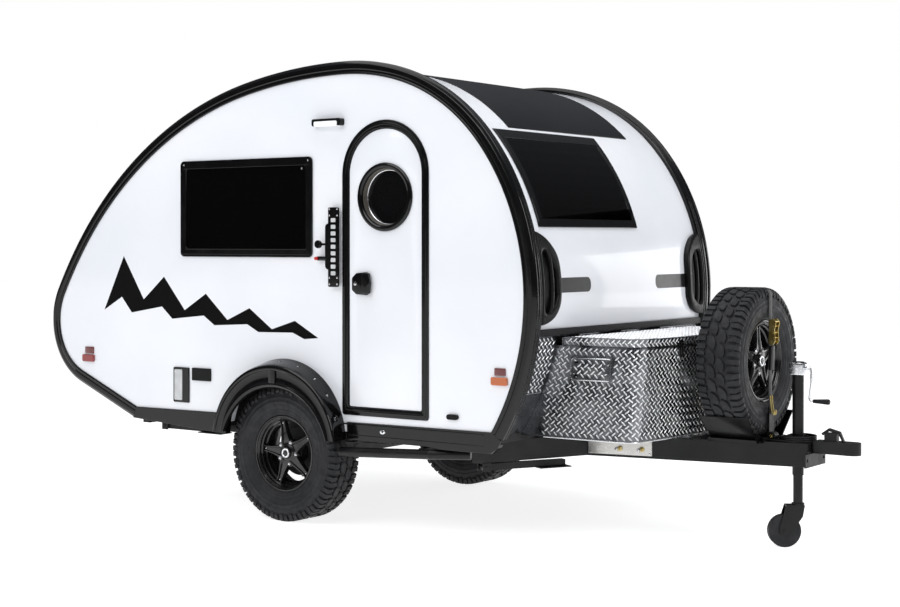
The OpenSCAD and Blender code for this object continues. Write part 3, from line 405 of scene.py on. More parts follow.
class Parts:
    """Collects points and faces from several shapes into one mesh."""

    def __init__(self):
        self.points, self.faces, self.numbers = [], [], []

    def add(self, points, faces, number=0):
        start = len(self.points)
        self.points += points
        self.faces += [[start + i for i in face] for face in faces]
        self.numbers += [number] * len(faces)
        return self

    def plate(self, place, number, outline, *sizes, holes=(), **rounding):
        """A slab set on a surface, in one of the piece's finishes."""
        return self.add(*put(slab(outline, list(holes), *sizes, **rounding), place), number)

    def lathe(self, number, *shape):
        return self.add(*ring_closed(*shape), number)

    def bar(self, number, *shape):
        return self.add(*tube(*shape), number)

    def mesh(self, name):
        return mesh_of(name, self.points, self.faces, self.numbers)


# %% [markdown]
# A flat part is an outline with holes, raised to a thickness. Real sheet and moulded edges are
# never knife sharp, so the rim of each outline steps in over a small rounded edge, and that edge
# is what catches the light.

# %% Outlines
def rounded(corners, radius, steps=5):
    """An outline with its corners rounded; a corner may carry its own radius as a third number."""
    loop = []
    count = len(corners)
    for i, corner in enumerate(corners):
        here = Vector(corner[:2])
        before = Vector(corners[i - 1][:2]) - here
        after = Vector(corners[(i + 1) % count][:2]) - here
        bend = corner[2] if len(corner) > 2 else radius
        opening = before.angle(after)
        if bend <= 0 or opening > math.pi - 0.02:
            loop.append(tuple(here))
            continue
        reach = min(bend / math.tan(opening / 2), before.length * 0.49, after.length * 0.49)
        bend = reach * math.tan(opening / 2)
        halfway = (before.normalized() + after.normalized()).normalized()
        middle = here + halfway * bend / math.sin(opening / 2)
        start = here + before.normalized() * reach - middle
        stop = here + after.normalized() * reach - middle
        sweep = start.angle_signed(stop)
        for k in range(steps + 1):
            turn = -sweep * k / steps
            loop.append((middle.x + start.x * math.cos(turn) - start.y * math.sin(turn),
                         middle.y + start.x * math.sin(turn) + start.y * math.cos(turn)))
    return loop


def box_outline(x0, x1, z0, z1, radius=0, steps=5):
    return rounded([(x0, z0), (x1, z0), (x1, z1), (x0, z1)], radius, steps)


def circle_outline(x, z, radius, steps=32, squash=1.0):
    turns = [math.tau * k / steps for k in range(steps)]
    return [(x + radius * math.cos(turn), z + squash * radius * math.sin(turn)) for turn in turns]


def area_of(loop):
    return sum(a[0] * b[1] - b[0] * a[1] for a, b in zip(loop, loop[1:] + loop[:1])) / 2


def inset(loop, distance):
    """The same outline moved inwards (for a hole: outwards into the sheet, with a negative distance)."""
    turned = 1 if area_of(loop) > 0 else -1
    moved = []
    for i, here in enumerate(loop):
        before = Vector((here[0] - loop[i - 1][0], here[1] - loop[i - 1][1]))
        nxt = loop[(i + 1) % len(loop)]
        after = Vector((nxt[0] - here[0], nxt[1] - here[1]))
        if before.length < 1e-6 or after.length < 1e-6:
            moved.append(here)
            continue
        n1 = Vector((-before.y, before.x)).normalized() * turned
        n2 = Vector((-after.y, after.x)).normalized() * turned
        middle = n1 + n2
        middle = middle / max(middle.length_squared / 2, 0.4)
        moved.append((here[0] + middle.x * distance, here[1] + middle.y * distance))
    return moved


# %% A sheet with rounded rims
def slab(outer, holes, low, high, edge=1.5, steps=2, cuts=None, round_back=False):
    """Points (u, v, height) and faces of a sheet, its rims rounded, cut across u where it must bend."""
    work = bmesh.new()
    loops = [(outer, 1)] + [(loop, -1) for loop in holes]
    levels = [(0, low)]
    if round_back:
        levels = [(edge * (1 - math.sin(math.pi / 2 * k / steps)),
                   low + edge * (1 - math.cos(math.pi / 2 * k / steps)))
                   for k in range(steps + 1)]
    levels += [(edge * (1 - math.cos(math.pi / 2 * k / steps)),
                high - edge * (1 - math.sin(math.pi / 2 * k / steps)))
               for k in range(steps + 1)]
    top_rings, bottom_rings = [], []
    for loop, side in loops:
        rings = []
        for step_in, height_here in levels:
            moved = inset(loop, step_in * side) if step_in > 1e-6 else loop
            rings.append([work.verts.new((u, v, height_here)) for u, v in moved])
        for a, b in zip(rings, rings[1:]):
            for i in range(len(a)):
                j = (i + 1) % len(a)
                work.faces.new([a[i], a[j], b[j], b[i]])
        top_rings.append(rings[-1])
        bottom_rings.append(rings[0])
    for rings in (top_rings, bottom_rings):
        flat = [vert for ring in rings for vert in ring]
        for tri in tessellate_polygon([[Vector((v.co.x, v.co.y, 0)) for v in ring] for ring in rings]):
            try:
                work.faces.new([flat[i] for i in tri])
            except ValueError:
                pass
    if cuts:
        for u in cuts:
            bmesh.ops.bisect_plane(work, geom=work.verts[:] + work.edges[:] + work.faces[:], dist=1e-4,
                                   plane_co=(u, 0, 0), plane_no=(1, 0, 0))
    work.verts.index_update()
    points = [tuple(v.co) for v in work.verts]
    faces = [[v.index for v in face.verts] for face in work.faces]
    work.free()
    return points, faces


WALL_OUT = 880


def right_side(u, v, h):
    """Onto the right-hand wall: u forward, v up, h outwards."""
    return spot(u, -WALL_OUT - h, v)


def put(shape, place):
    """Moves a shape's points from drawing space into the frame."""
    points, faces = shape
    return [place(*point) for point in points], faces


# %% [markdown]
# Tubes and rails sweep one section along a path. The section keeps its own up direction and turns
# only as the path does, so it never twists.

# %% Tubes and rails
def smooth_path(points, per_span=8):
    """A Catmull-Rom curve through given points."""
    points = [Vector(p) for p in points]
    ends = [points[0] * 2 - points[1]] + points + [points[-1] * 2 - points[-2]]
    path = []
    for i in range(1, len(ends) - 2):
        a, b, c, d = ends[i - 1:i + 3]
        for k in range(per_span):
            t = k / per_span
            path.append(0.5 * (2 * b + (c - a) * t + (2 * a - 5 * b + 4 * c - d) * t * t
                               + (3 * b - a - 3 * c + d) * t ** 3))
    path.append(points[-1])
    return path


def tube(path, radius, sides=16, ends=True, section=None):
    """A round bar, or any closed section, along a path of drawing points."""
    path = [Vector(p) for p in path]
    section = section or [(radius * math.cos(math.tau * k / sides),
                           radius * math.sin(math.tau * k / sides)) for k in range(sides)]
    directions = [(b - a).normalized() for a, b in zip(path, path[1:])]
    directions = [directions[0]] + [(a + b).normalized() for a,
                                    b in zip(directions, directions[1:])] + [directions[-1]]
    helper = Vector((0, 0, 1)) if abs(directions[0].z) < 0.9 else Vector((1, 0, 0))
    across = directions[0].cross(helper).normalized()
    points, rings = [], []
    for i, (centre, along) in enumerate(zip(path, directions)):
        across = (across - along * across.dot(along)).normalized()
        up = across.cross(along).normalized()
        stretch = 1.0
        if 0 < i < len(path) - 1:
            bend = (path[i + 1] - path[i]).angle(path[i] - path[i - 1], 0)
            stretch = 1 / max(math.cos(bend / 2), 0.5)
        rings.append(list(range(len(points), len(points) + len(section))))
        points += [centre + across * a * stretch + up * b for a, b in section]
    n = len(section)
    faces = [[r[i], r[(i + 1) % n], s[(i + 1) % n], s[i]] for r,
             s in zip(rings, rings[1:]) for i in range(n)]
    if ends:
        faces += [rings[0][::-1], rings[-1]]
    return [spot(*p) for p in points], faces


def swept(points, count):
    """Faces between rings of so many points that follow each other, with a cap at each end."""
    faces = [[k * count + i, k * count + (i + 1) % count, (k + 1) * count + (i + 1) % count,
              (k + 1) * count + i]
             for k in range(len(points) // count - 1) for i in range(count)]
    return points, faces + [list(range(count))[::-1], list(range(len(points) - count, len(points)))]


def ring_closed(profile, place, steps):
    """A lathe shape whose section is itself a closed loop."""
    n = len(profile)
    points = [place(r, math.tau * k / steps, h) for k in range(steps) for r, h in profile]
    faces = [[k * n + i, k * n + (i + 1) % n, ((k + 1) % steps) * n + (i + 1) % n,
              ((k + 1) % steps) * n + i]
             for k in range(steps) for i in range(n)]
    return points, faces


def around(x, y, z, axis):
    """A place for a lathe shape: centre and the direction its height points to."""
    towards = Vector(axis).normalized()
    first = Vector((0, 0, 1)) if abs(towards.z) < 0.9 else Vector((1, 0, 0))
    side = towards.cross(first).normalized()
    first = side.cross(towards).normalized()

    def place(radius, angle, h):
        outwards = first * math.cos(angle) + side * math.sin(angle)
        return spot(*(Vector((x, y, z)) + towards * h + outwards * radius))
    return place


print("helpers ready")

# %% [markdown]
# ## The towing cable
# The cable leaves a gland on the tongue plate, lies in a neat coil of four and a half turns round
# the jack's foot, two turns side by side and three high, and ends in a round plug.

# %% Cable and plug
CABLE_D = 10.0
COIL_MIDDLE = (2420.0, 0.0)
LEAD_ROUTE = [(2299, -82, 500.3), (2312, -82, 500.3), (2326, -82.5, 500.3), (2340, -83, 500.3),
              (2353, -83.5, 500.3), (2366, -83.5, 500.3), (2378, -83, 500.3)]
TAIL_ROUTE = [(2378, 83, 520.3), (2365, 83, 518), (2352, 82.5, 514.5), (2340, 80, 510.5), (2329, 74.5, 506),
              (2320, 66, 502.5), (2314.5, 55, 500.6), (2312, 43, 500.3), (2312, 36, 501), (2312, 28, 503.3),
              (2312, 20, 507), (2312, 12, 513.6), (2312, 5, 516.3), (2312, -2, 516.3)]
COIL_LAYS = [(83, 500.3), (73, 500.3), (73, 510.3), (83, 510.3), (83, 520.3)]
COIL_TURNS = 4.5


def coil_point(turn):
    """A point of the coil after so many turns: it changes its lay near the end of each turn."""
    lay = min(int(turn), len(COIL_LAYS) - 1)
    shift = min(max((turn - lay - 0.78) / 0.2, 0), 1)
    shift = shift * shift * (3 - 2 * shift)
    following = COIL_LAYS[min(lay + 1, len(COIL_LAYS) - 1)]
    radius = COIL_LAYS[lay][0] * (1 - shift) + following[0] * shift
    height = COIL_LAYS[lay][1] * (1 - shift) + following[1] * shift
    angle = math.tau * turn - math.pi / 2
    return (COIL_MIDDLE[0] + radius * math.cos(angle), COIL_MIDDLE[1] + radius * math.sin(angle), height)


coil = [coil_point(COIL_TURNS * k / 180) for k in range(181)]
cable_path = [Vector(point) for point in LEAD_ROUTE + coil + TAIL_ROUTE]
cable = Parts().bar(0, cable_path, CABLE_D / 2, 10)
cable_piece = add_piece("towing_cable", cable.mesh("towing_cable"), satin_plastic,
                        stands_for=["cable_lead", "cable_coil", "cable_tail"], slot="cable_black",
                        corner=60)

PLUG_SHELL = [(0.01, 1), (7.6, 1), (8, 2), (8, 13.5), (16, 15), (19.6, 17.5), (20, 30), (20, 44),
              (21, 45), (21, 62.6),
              (19.8, 64), (17.4, 64), (17, 63), (17, 55), (0.01, 55)]
plug_place = around(2312, 0, 516.3, (0, -1, 0))
plug = Parts().lathe(0, PLUG_SHELL, plug_place, 40)
for pin in range(7):
    middle = 0 if pin == 6 else 9.5
    turn = math.tau * pin / 6
    pin_at = around(2312 + middle * math.cos(turn), 0, 516.3 + middle * math.sin(turn), (0, -1, 0))
    pin_r = 4.6 if pin == 6 else 2.1
    plug.lathe(1, [(0.01, 54), (pin_r, 54), (pin_r, 61), (pin_r * 0.6, 62), (0.01, 62)], pin_at, 12)
plug_piece = add_piece("cable_plug_shell", plug.mesh("cable_plug_shell"), [satin_plastic, gold_zinc],
                       stands_for=["cable_plug"], slot="cable_black")
cable_metres = sum((b - a).length for a, b in zip(cable_path, cable_path[1:])) / 1000
tuple(spot(*LEAD_ROUTE[0]))
[tuple(spot(*point)) for point in cable_path]
print("cable", round(cable_metres, 2), "m")

# %% [markdown]
# ## The body line
# Seen from the side, the shell is a chain of arcs that run into each other, with a short straight
# tail. One length along that line, `s`, is enough to place anything on the roof: zero is the crown,
# positive runs down the nose and negative down the tail.

# %% The body line
CROWN = (399.0, 2259.0)
NOSE_ARCS = [(1176, 16.5), (956, 35), (1162, 49.7), (1196, 20.6)]
TAIL_ARCS = [(3054, 12.5), (2091, 42.2), (2390, 6.3), (303, 96.7)]
TAIL_RUN = 471.0


def line_half(arcs, side, s):
    """Point and outward normal at length s down one half of the body line."""
    x, z, turn = CROWN[0], CROWN[1], 0.0
    for radius, degrees in arcs:
        run = radius * math.radians(degrees)
        part = min(s, run) / radius
        x += radius * side * (math.sin(turn + part) - math.sin(turn))
        z += radius * (math.cos(turn + part) - math.cos(turn))
        turn += part
        s -= run
        if s <= 0:
            break
    if s > 0:
        x += s * side * math.cos(turn)
        z -= s * math.sin(turn)
    return x, z, side * math.sin(turn), math.cos(turn)


def body_point(s, d=0.0):
    x, z, nx, nz = line_half(NOSE_ARCS, 1, s) if s >= 0 else line_half(TAIL_ARCS, -1, -s)
    return x + nx * d, z + nz * d


def on_roof(s, y, d):
    """Onto the curved shell: s along the body line, y across, d out from it."""
    x, z = body_point(s, d)
    return spot(x, y, z)


nose_end = sum(r * math.radians(a) for r, a in NOSE_ARCS)
tail_end = -sum(r * math.radians(a) for r, a in TAIL_ARCS) - TAIL_RUN


def s_at_height(z, low, high, d=32.0):
    """The length along the body line where the skin passes a height, between two lengths."""
    for _ in range(40):
        middle = (low + high) / 2
        if (body_point(middle, d)[1] - z) * (body_point(low, d)[1] - z) > 0:
            low = middle
        else:
            high = middle
    return (low + high) / 2


def nose_s(z):
    return s_at_height(z, 0, 2150)


def tail_s(z):
    return s_at_height(z, -2900, 0)


def s_at_x(x, low=-2200.0, high=1500.0, d=32.0):
    for _ in range(40):
        middle = (low + high) / 2
        if body_point(middle, d)[0] < x:
            low = middle
        else:
            high = middle
    return (low + high) / 2


def steps_between(start, stop, pitch):
    count = max(1, round(abs(stop - start) / pitch))
    return [start + (stop - start) * k / count for k in range(count + 1)]


print("body line", round(nose_end - tail_end), "mm long")

# %% [markdown]
# ## The black edge trim
# The corner between wall and roof is covered by an aluminium extrusion, powder coated gloss black.
# It has a flat flange on the wall, a fat outer roll and two ribs on the roof side. A sweep is the
# honest way to make it, since that is how the metal is: one section all along. The section shrinks
# by a millimetre at two stations, which reads as the cut joints of the real one.

# %% Edge trims
TRIM_SECTION = rounded([
    (0, 0.1), (0, 8, 3), (8.5, 8.5, 1.5), (12, 4.6, 1.5), (22.5, 4.6, 1.5), (26.5, 8, 2), (50, 8, 10),
    (67, -2, 9),
    (67, -19, 4), (58, -24.5, 1.5), (58, -29.5, 1.5), (63, -32.5, 2.5), (63, -46, 2.5), (58, -48.5, 1.5),
    (58, -53.5, 1.5), (60.5, -55.5, 2), (60.5, -62, 3.5), (50, -66, 4), (32.4, -66, 0.8), (32.4, 0.1)], 1,
    4)


def edge_trim(side, joints_at):
    pitch = [s for s in steps_between(tail_end, tail_end + TAIL_RUN, 60)][:-1]
    pitch += steps_between(tail_end + TAIL_RUN, nose_end, 15)
    stations = [(s, 0.0) for s in pitch if all(abs(s - j) > 3 for j in joints_at)]
    for joint in joints_at:
        stations += [(joint - 1.1, 0.0), (joint - 0.6, 1.2), (joint + 0.6, 1.2), (joint + 1.1, 0.0)]
    stations.sort()
    thin = inset(TRIM_SECTION, 1.2)
    points = []
    for s, shrink in stations:
        for d, w in (thin if shrink else TRIM_SECTION):
            x, z = body_point(s, d)
            points.append(spot(x, side * (WALL_OUT + w), z))
    return swept(points, len(TRIM_SECTION))


for name, side in (("right", -1), ("left", 1)):
    trim = edge_trim(side, [s_at_x(-640), s_at_x(1180)])
    add_piece(name + "_edge_trim", mesh_of(name + "_edge_trim", *trim), edge_black,
              stands_for=[name + "_trim"], slot="trim", corner=28)
print("trim section of", len(TRIM_SECTION), "points")

# %% [markdown]
# ## The curved skins
# Roof, nose and tail are three bent sandwich panels. Each is drawn flat in (s, y) with its window
# cut out, cut into narrow strips and then wrapped onto the body line, so the shine runs over it
# without a break.

# %% Roof, nose and tail panels
FRONT_WINDOW = (1498, 1968, -735, 192)
REAR_WINDOW = (1340, 1700, -480, 480)
INNER_WALL = 848
roof_nose = s_at_x(1155)
roof_tail = s_at_x(-900)


def window_hole(window, along, lap, radius):
    z0, z1, y0, y1 = window
    s0, s1 = sorted((along(z0), along(z1)))
    return box_outline(s0 + lap, s1 - lap, y0 + lap, y1 - lap, radius)


def skin_panel(name, s0, s1, holes, node):
    flat = slab(box_outline(s0 + 0.3, s1 - 0.3, -INNER_WALL, INNER_WALL), holes, 2, 32, 0.6, 1,
                cuts=steps_between(s0, s1, 22)[1:-1])
    return add_piece(name, mesh_of(name, *put(flat, on_roof)), shell_white, stands_for=[node], slot="skin")


skin_panel("roof_skin", roof_tail, roof_nose, [], "roof_panel")
skin_panel("nose_skin", roof_nose, nose_end, [window_hole(FRONT_WINDOW, nose_s, 22, 24)], "front_wall")
skin_panel("tail_skin", tail_end, roof_tail, [window_hole(REAR_WINDOW, tail_s, 22, 24)], "rear_wall")
print("skins meet at", round(roof_tail), "and", round(roof_nose))

# %% [markdown]
# ## Repeats with Geometry Nodes
# Tread blocks, plate lugs, bolts and holes are one small shape many times over. A cloud of points
# carries where each copy stands, how it is turned and how big it is, and one tree puts the copies
# there, makes them real and gives them their finish.

# %% The tree that sets copies on points
def copies_tree():
    tree = bpy.data.node_groups.new("copies_on_points", "GeometryNodeTree")
    sockets = tree.interface
    sockets.new_socket("Geometry", in_out="INPUT", socket_type="NodeSocketGeometry")
    sockets.new_socket("Shape", in_out="INPUT", socket_type="NodeSocketObject")
    sockets.new_socket("Size", in_out="INPUT", socket_type="NodeSocketFloat")
    sockets.new_socket("Finish", in_out="INPUT", socket_type="NodeSocketMaterial")
    sockets.new_socket("Geometry", in_out="OUTPUT", socket_type="NodeSocketGeometry")
    make, link = tree.nodes.new, tree.links.new
    start, stop = make("NodeGroupInput"), make("NodeGroupOutput")
    shape = make("GeometryNodeObjectInfo")
    turn = make("GeometryNodeInputNamedAttribute")
    turn.data_type = "FLOAT_VECTOR"
    turn.inputs["Name"].default_value = "turn"
    grow = make("GeometryNodeInputNamedAttribute")
    grow.data_type = "FLOAT_VECTOR"
    grow.inputs["Name"].default_value = "grow"
    scale = make("ShaderNodeVectorMath")
    scale.operation = "SCALE"
    spread = make("GeometryNodeInstanceOnPoints")
    real = make("GeometryNodeRealizeInstances")
    paint = make("GeometryNodeSetMaterial")
    link(start.outputs["Geometry"], spread.inputs["Points"])
    link(start.outputs["Shape"], shape.inputs["Object"])
    link(shape.outputs["Geometry"], spread.inputs["Instance"])
    link(turn.outputs["Attribute"], spread.inputs["Rotation"])
    link(grow.outputs["Attribute"], scale.inputs[0])
    link(start.outputs["Size"], scale.inputs["Scale"])
    link(scale.outputs["Vector"], spread.inputs["Scale"])
    link(spread.outputs["Instances"], real.inputs["Geometry"])
    link(real.outputs["Geometry"], paint.inputs["Geometry"])
    link(start.outputs["Finish"], paint.inputs["Material"])
    link(paint.outputs["Geometry"], stop.inputs["Geometry"])
    return tree


COPIES = copies_tree()
COPY_INPUT = {item.name: item.identifier for item in COPIES.interface.items_tree
              if item.item_type == "SOCKET" and item.in_out == "INPUT"}


def copies(name, shape, stands, finish, size=1.0):
    """A mesh with one copy of a shape (points, faces in mm) on each stand: (where, out, along, grow)."""
    unit_mesh = mesh_of("unit", [Vector(p) / 1000 for p in shape[0]], shape[1])
    unit_mesh.materials.append(finish.material)
    unit = bpy.data.objects.new("unit", unit_mesh)
    cloud_mesh = bpy.data.meshes.new("stands")
    cloud_mesh.from_pydata([stand[0] for stand in stands], [], [])
    turns, grows = [], []
    for stand in stands:
        out = Vector(stand[1]).normalized()
        along = Vector(stand[2])
        along = (along - out * along.dot(out)).normalized()
        side = out.cross(along)
        turns += Matrix((along, side, out)).transposed().to_euler()[:]
        grows += stand[3] if len(stand) > 3 else (1, 1, 1)
    cloud_mesh.attributes.new("turn", "FLOAT_VECTOR", "POINT").data.foreach_set("vector", turns)
    cloud_mesh.attributes.new("grow", "FLOAT_VECTOR", "POINT").data.foreach_set("vector", grows)
    cloud = bpy.data.objects.new("stands", cloud_mesh)
    for made in (unit, cloud):
        bpy.context.scene.collection.objects.link(made)
    modifier = cloud.modifiers.new("copies", "NODES")
    modifier.node_group = COPIES
    modifier[COPY_INPUT["Shape"]] = unit
    modifier[COPY_INPUT["Size"]] = size
    modifier[COPY_INPUT["Finish"]] = finish.material
    view = bpy.context.evaluated_depsgraph_get()
    mesh = bpy.data.meshes.new_from_object(cloud.evaluated_get(view))
    mesh.name = name
    for made in (cloud, unit):
        bpy.data.objects.remove(made)
    for layer in [layer.name for layer in mesh.attributes if layer.name in ("turn", "grow")]:
        mesh.attributes.remove(mesh.attributes[layer])
    mesh.materials.clear()
    return mesh


def joined(name, meshes):
    """Several meshes as one, each taking the next finish slot."""
    work = bmesh.new()
    for number, mesh in enumerate(meshes):
        before = len(work.faces)
        work.from_mesh(mesh)
        work.faces.ensure_lookup_table()
        for face in work.faces[before:]:
            face.material_index = number
    mesh = bpy.data.meshes.new(name)
    work.to_mesh(mesh)
    work.free()
    return mesh


def along_of(place, u, v, h, du, dv):
    """A stand on a surface given by place(u, v, h): where, out and the direction of (du, dv)."""
    here = place(u, v, h)
    out = (place(u, v, h + 1) - here).normalized()
    along = place(u + du * 0.5, v + dv * 0.5, h) - place(u - du * 0.5, v - dv * 0.5, h)
    return here, out, along


def dome(radius, height, steps=10, rings=3):
    """A low round head on its own base."""
    points, faces = [(0, 0, height)], []
    for k in range(1, rings + 1):
        t = math.pi / 2 * k / rings
        points += [(radius * math.sin(t) * math.cos(math.tau * i / steps),
                    radius * math.sin(t) * math.sin(math.tau * i / steps),
                    height * math.cos(t)) for i in range(steps)]
    faces += [[0, 1 + i, 1 + (i + 1) % steps] for i in range(steps)]
    for k in range(rings - 1):
        a = 1 + k * steps
        faces += [[a + i, a + steps + i, a + steps + (i + 1) % steps,
                   a + (i + 1) % steps] for i in range(steps)]
    return points, faces


def hex_head(across, height, washer=1.6):
    """A hexagon bolt head on a washer."""
    made = Parts()
    for radius, low, high, count, twist in ((across * 0.72, 0, washer, 16, 0),
                                            (across / math.sqrt(3), washer, washer + height, 6, 0.5)):
        ring = [(radius * math.cos(math.tau * (k + twist) / count),
                 radius * math.sin(math.tau * (k + twist) / count)) for k in range(count)]
        made.add(*slab(ring, [], low, high, 0.8 if count == 6 else 0.4, 1))
    return made.points, made.faces


print("copy tree inputs", sorted(COPY_INPUT))

# %% [markdown]
# ## Off-road tyres
# The carcass is a lathe shape: bead, round sidewall with a few fine rings, and a flat crown a
# centimetre below the tread. One pitch of the tread has two pairs of shoulder bars that reach down
# the sidewall and two leaning centre blocks, and the pitch is repeated 32 times round the wheel.

# %% Tyres
PITCHES = 32
TREAD_R = 348.0
CARCASS = [(179, 70), (179, 80.5), (194.6, 80.5), (195.4, 84), (197, 89.5), (203, 93), (208, 96.5),
           (211, 96.5), (213, 98), (226, 101.5), (229, 101.3),
           (231, 102.7), (248, 106.0), (262, 107.3), (264, 108.4), (267, 108.4), (269, 107.4),
           (284, 106.8), (287, 107.6), (290, 106.4),
           (303, 104.2), (316, 100.5), (326, 96.5), (333, 90), (336.5, 80), (338, 60), (338.5, 30),
           (338.5, 0)]
CARCASS = CARCASS + [(r, -h) for r, h in CARCASS[-2::-1]]


def tread_pitch():
    """Blocks of one pitch as (t, h, r): t round the tyre and h across it, both in mm."""
    blocks = Parts()

    def block(shape, low, high, edge=1.6):
        points, faces = slab(shape, [], low, high, edge, 2, cuts=(-16.0, 0.0, 16.0))
        blocks.add(points, faces)

    leaning = rounded([(-33, 10), (-14, 3), (10, 6), (25, 17), (34, 38), (15, 45), (-6, 43), (-22, 32)],
                      4, 2)
    block(leaning, 335, TREAD_R)
    block([(-t + 34, -h) for t, h in leaning], 335, TREAD_R)
    for side in (-1, 1):
        for start, reach, inner in ((-29, 309, 53), (2, 316, 57)):
            width = 25
            lean = 4 * side
            rows = [(inner, 336, TREAD_R - 0.6), (inner + 3, 336, TREAD_R), (88, 334, TREAD_R),
                    (94, 332, 346.5), (100, 326, 339.5),
                    (104.0, 316, 328), (107.2, reach, reach + 6), (105.0, reach - 4, reach - 3.2)]
            points, faces = [], []
            for k, (h, low, high) in enumerate(rows):
                narrow = 2.2 if k in (0, len(rows) - 1) else 0
                t0, t1 = start + lean * (k / 7) + narrow, start + width + lean * (k / 7) - narrow
                if k < 2:
                    t0 += 5 if start > 0 else 0
                points += [(t0, side * h, low), (t0 + 1.4, side * (h + (0.7 if k > 3 else 0)), high),
                           (t1 - 1.4, side * (h + (0.7 if k > 3 else 0)), high), (t1, side * h, low)]
            for k in range(len(rows) - 1):
                a, b = k * 4, k * 4 + 4
                faces += [[a + i, a + i + 1, b + i + 1, b + i] for i in range(3)]
            faces += [[0, 1, 2, 3], [len(points) - 1, len(points) - 2, len(points) - 3, len(points) - 4]]
            blocks.add(points, faces)
        web = [(-6, side * 60, 334), (-6, side * 60, 343), (4, side * 60, 343), (4, side * 60, 334),
               (-6, side * 92, 330), (-6, side * 92, 342), (4, side * 92, 342), (4, side * 92, 330)]
        blocks.add(web, [[0, 1, 2, 3], [7, 6, 5, 4], [0, 4, 5, 1], [1, 5, 6, 2], [2, 6, 7, 3]])
    return [(-h, t, r) for t, h, r in blocks.points], blocks.faces


SPARE_AT = (2162, 0, 863)
HUB_OUT, HUB_UP = 795, 348


def wheel_centre(which):
    """Middle of a wheel and the way its face looks."""
    if which == "spare":
        return SPARE_AT, (1, 0, 0)
    side = -1 if which == "right" else 1
    return (0, side * HUB_OUT, HUB_UP), (0, side, 0)


def bent_pitch(shape):
    """Bends the flat pitch round the wheel: x across, y round, z out from the hub."""
    points = []
    for across, round_tyre, r in shape[0]:
        turn = round_tyre / TREAD_R
        points.append((across, r * math.sin(turn), r * math.cos(turn)))
    return points, shape[1]


def make_tyre(which, body, start_turn):
    centre, axis = wheel_centre(which)
    place = around(*centre, axis)
    carcass = mesh_of("carcass", *ring_closed(CARCASS, place, 96))
    hub = spot(*centre)
    stands = []
    for k in range(PITCHES):
        turn = start_turn + math.tau * k / PITCHES
        out = place(1000, turn, 0) - hub
        stands.append((hub, out, Vector(axis) * -1.0))
    tread = copies("tread", bent_pitch(tread_pitch()), stands, tyre_rubber)
    name = which + "_mud_tyre"
    add_piece(name, joined(name, [carcass, tread]), tyre_rubber, body, [which + "_tyre"], "tyre", corner=32)


make_tyre("right", "right_wheel", 0.03)
make_tyre("left", "left_wheel", 0.08)
make_tyre("spare", "trailer", 0.0)
print("tread pitches", PITCHES)

# %% [markdown]
# ## Wheels
# The wheel is one casting: a stepped barrel with a rolled lip, five arms that taper from the hub
# like a star, a channel sunk into each arm, and a deep cap with a bright ring. The nuts sit in the
# valleys between the arms.

# %% Wheels
RIM_SECTION = rounded([(194.3, 89, 2.5), (194.3, 82), (193, 81), (178.2, 80.9), (177.6, 70), (177.6, -70),
                       (178.2, -80.9),
                       (193, -81), (194.3, -82), (194.3, -89, 2.5), (184, -89, 2), (178, -80), (170, -70),
                       (168, -40), (152, -24), (150, 8), (158, 20),
                       (159, 34), (166, 40), (167, 60), (173, 65), (175, 76), (184, 83), (186, 89, 2)],
                       1.2, 2)
DRUM_SECTION = [(30.4, -97), (60, -97), (60, -93), (122, -93), (125, -90), (125, -34), (122, -31),
                (64, -31), (64, 24), (30.4, 22)]


NUT_CIRCLE = 57


def wheel_arm(turn, place):
    """One star arm, lofted from the hub to the barrel."""
    stations = [(30, 37, 60), (52, 32, 62), (75, 25.5, 61), (100, 20.5, 59), (125, 17, 57),
                (145, 15.2, 56.5), (156, 16, 57), (163, 19, 57)]
    points = []
    for radius, wide, top in stations:
        section = [(-wide - 3, 34), (-wide - 1, top - 4), (-wide + 1.5, top), (-wide * 0.66, top),
                   (-wide * 0.5, top - 7),
                   (wide * 0.5, top - 7), (wide * 0.66, top), (wide - 1.5, top), (wide + 1, top - 4),
                   (wide + 3, 34)]
        for t, h in section:
            points.append(place(math.hypot(radius, t), turn + math.atan2(t, radius), h))
    return swept(points, len(section))


def off_centre(place, middle):
    """A place for a small lathe shape on the face of a bigger one, its own centre moved."""
    def moved(radius, angle, h):
        u, v = middle.x + radius * math.cos(angle), middle.y + radius * math.sin(angle)
        return place(math.hypot(u, v), math.atan2(v, u), h)
    return moved


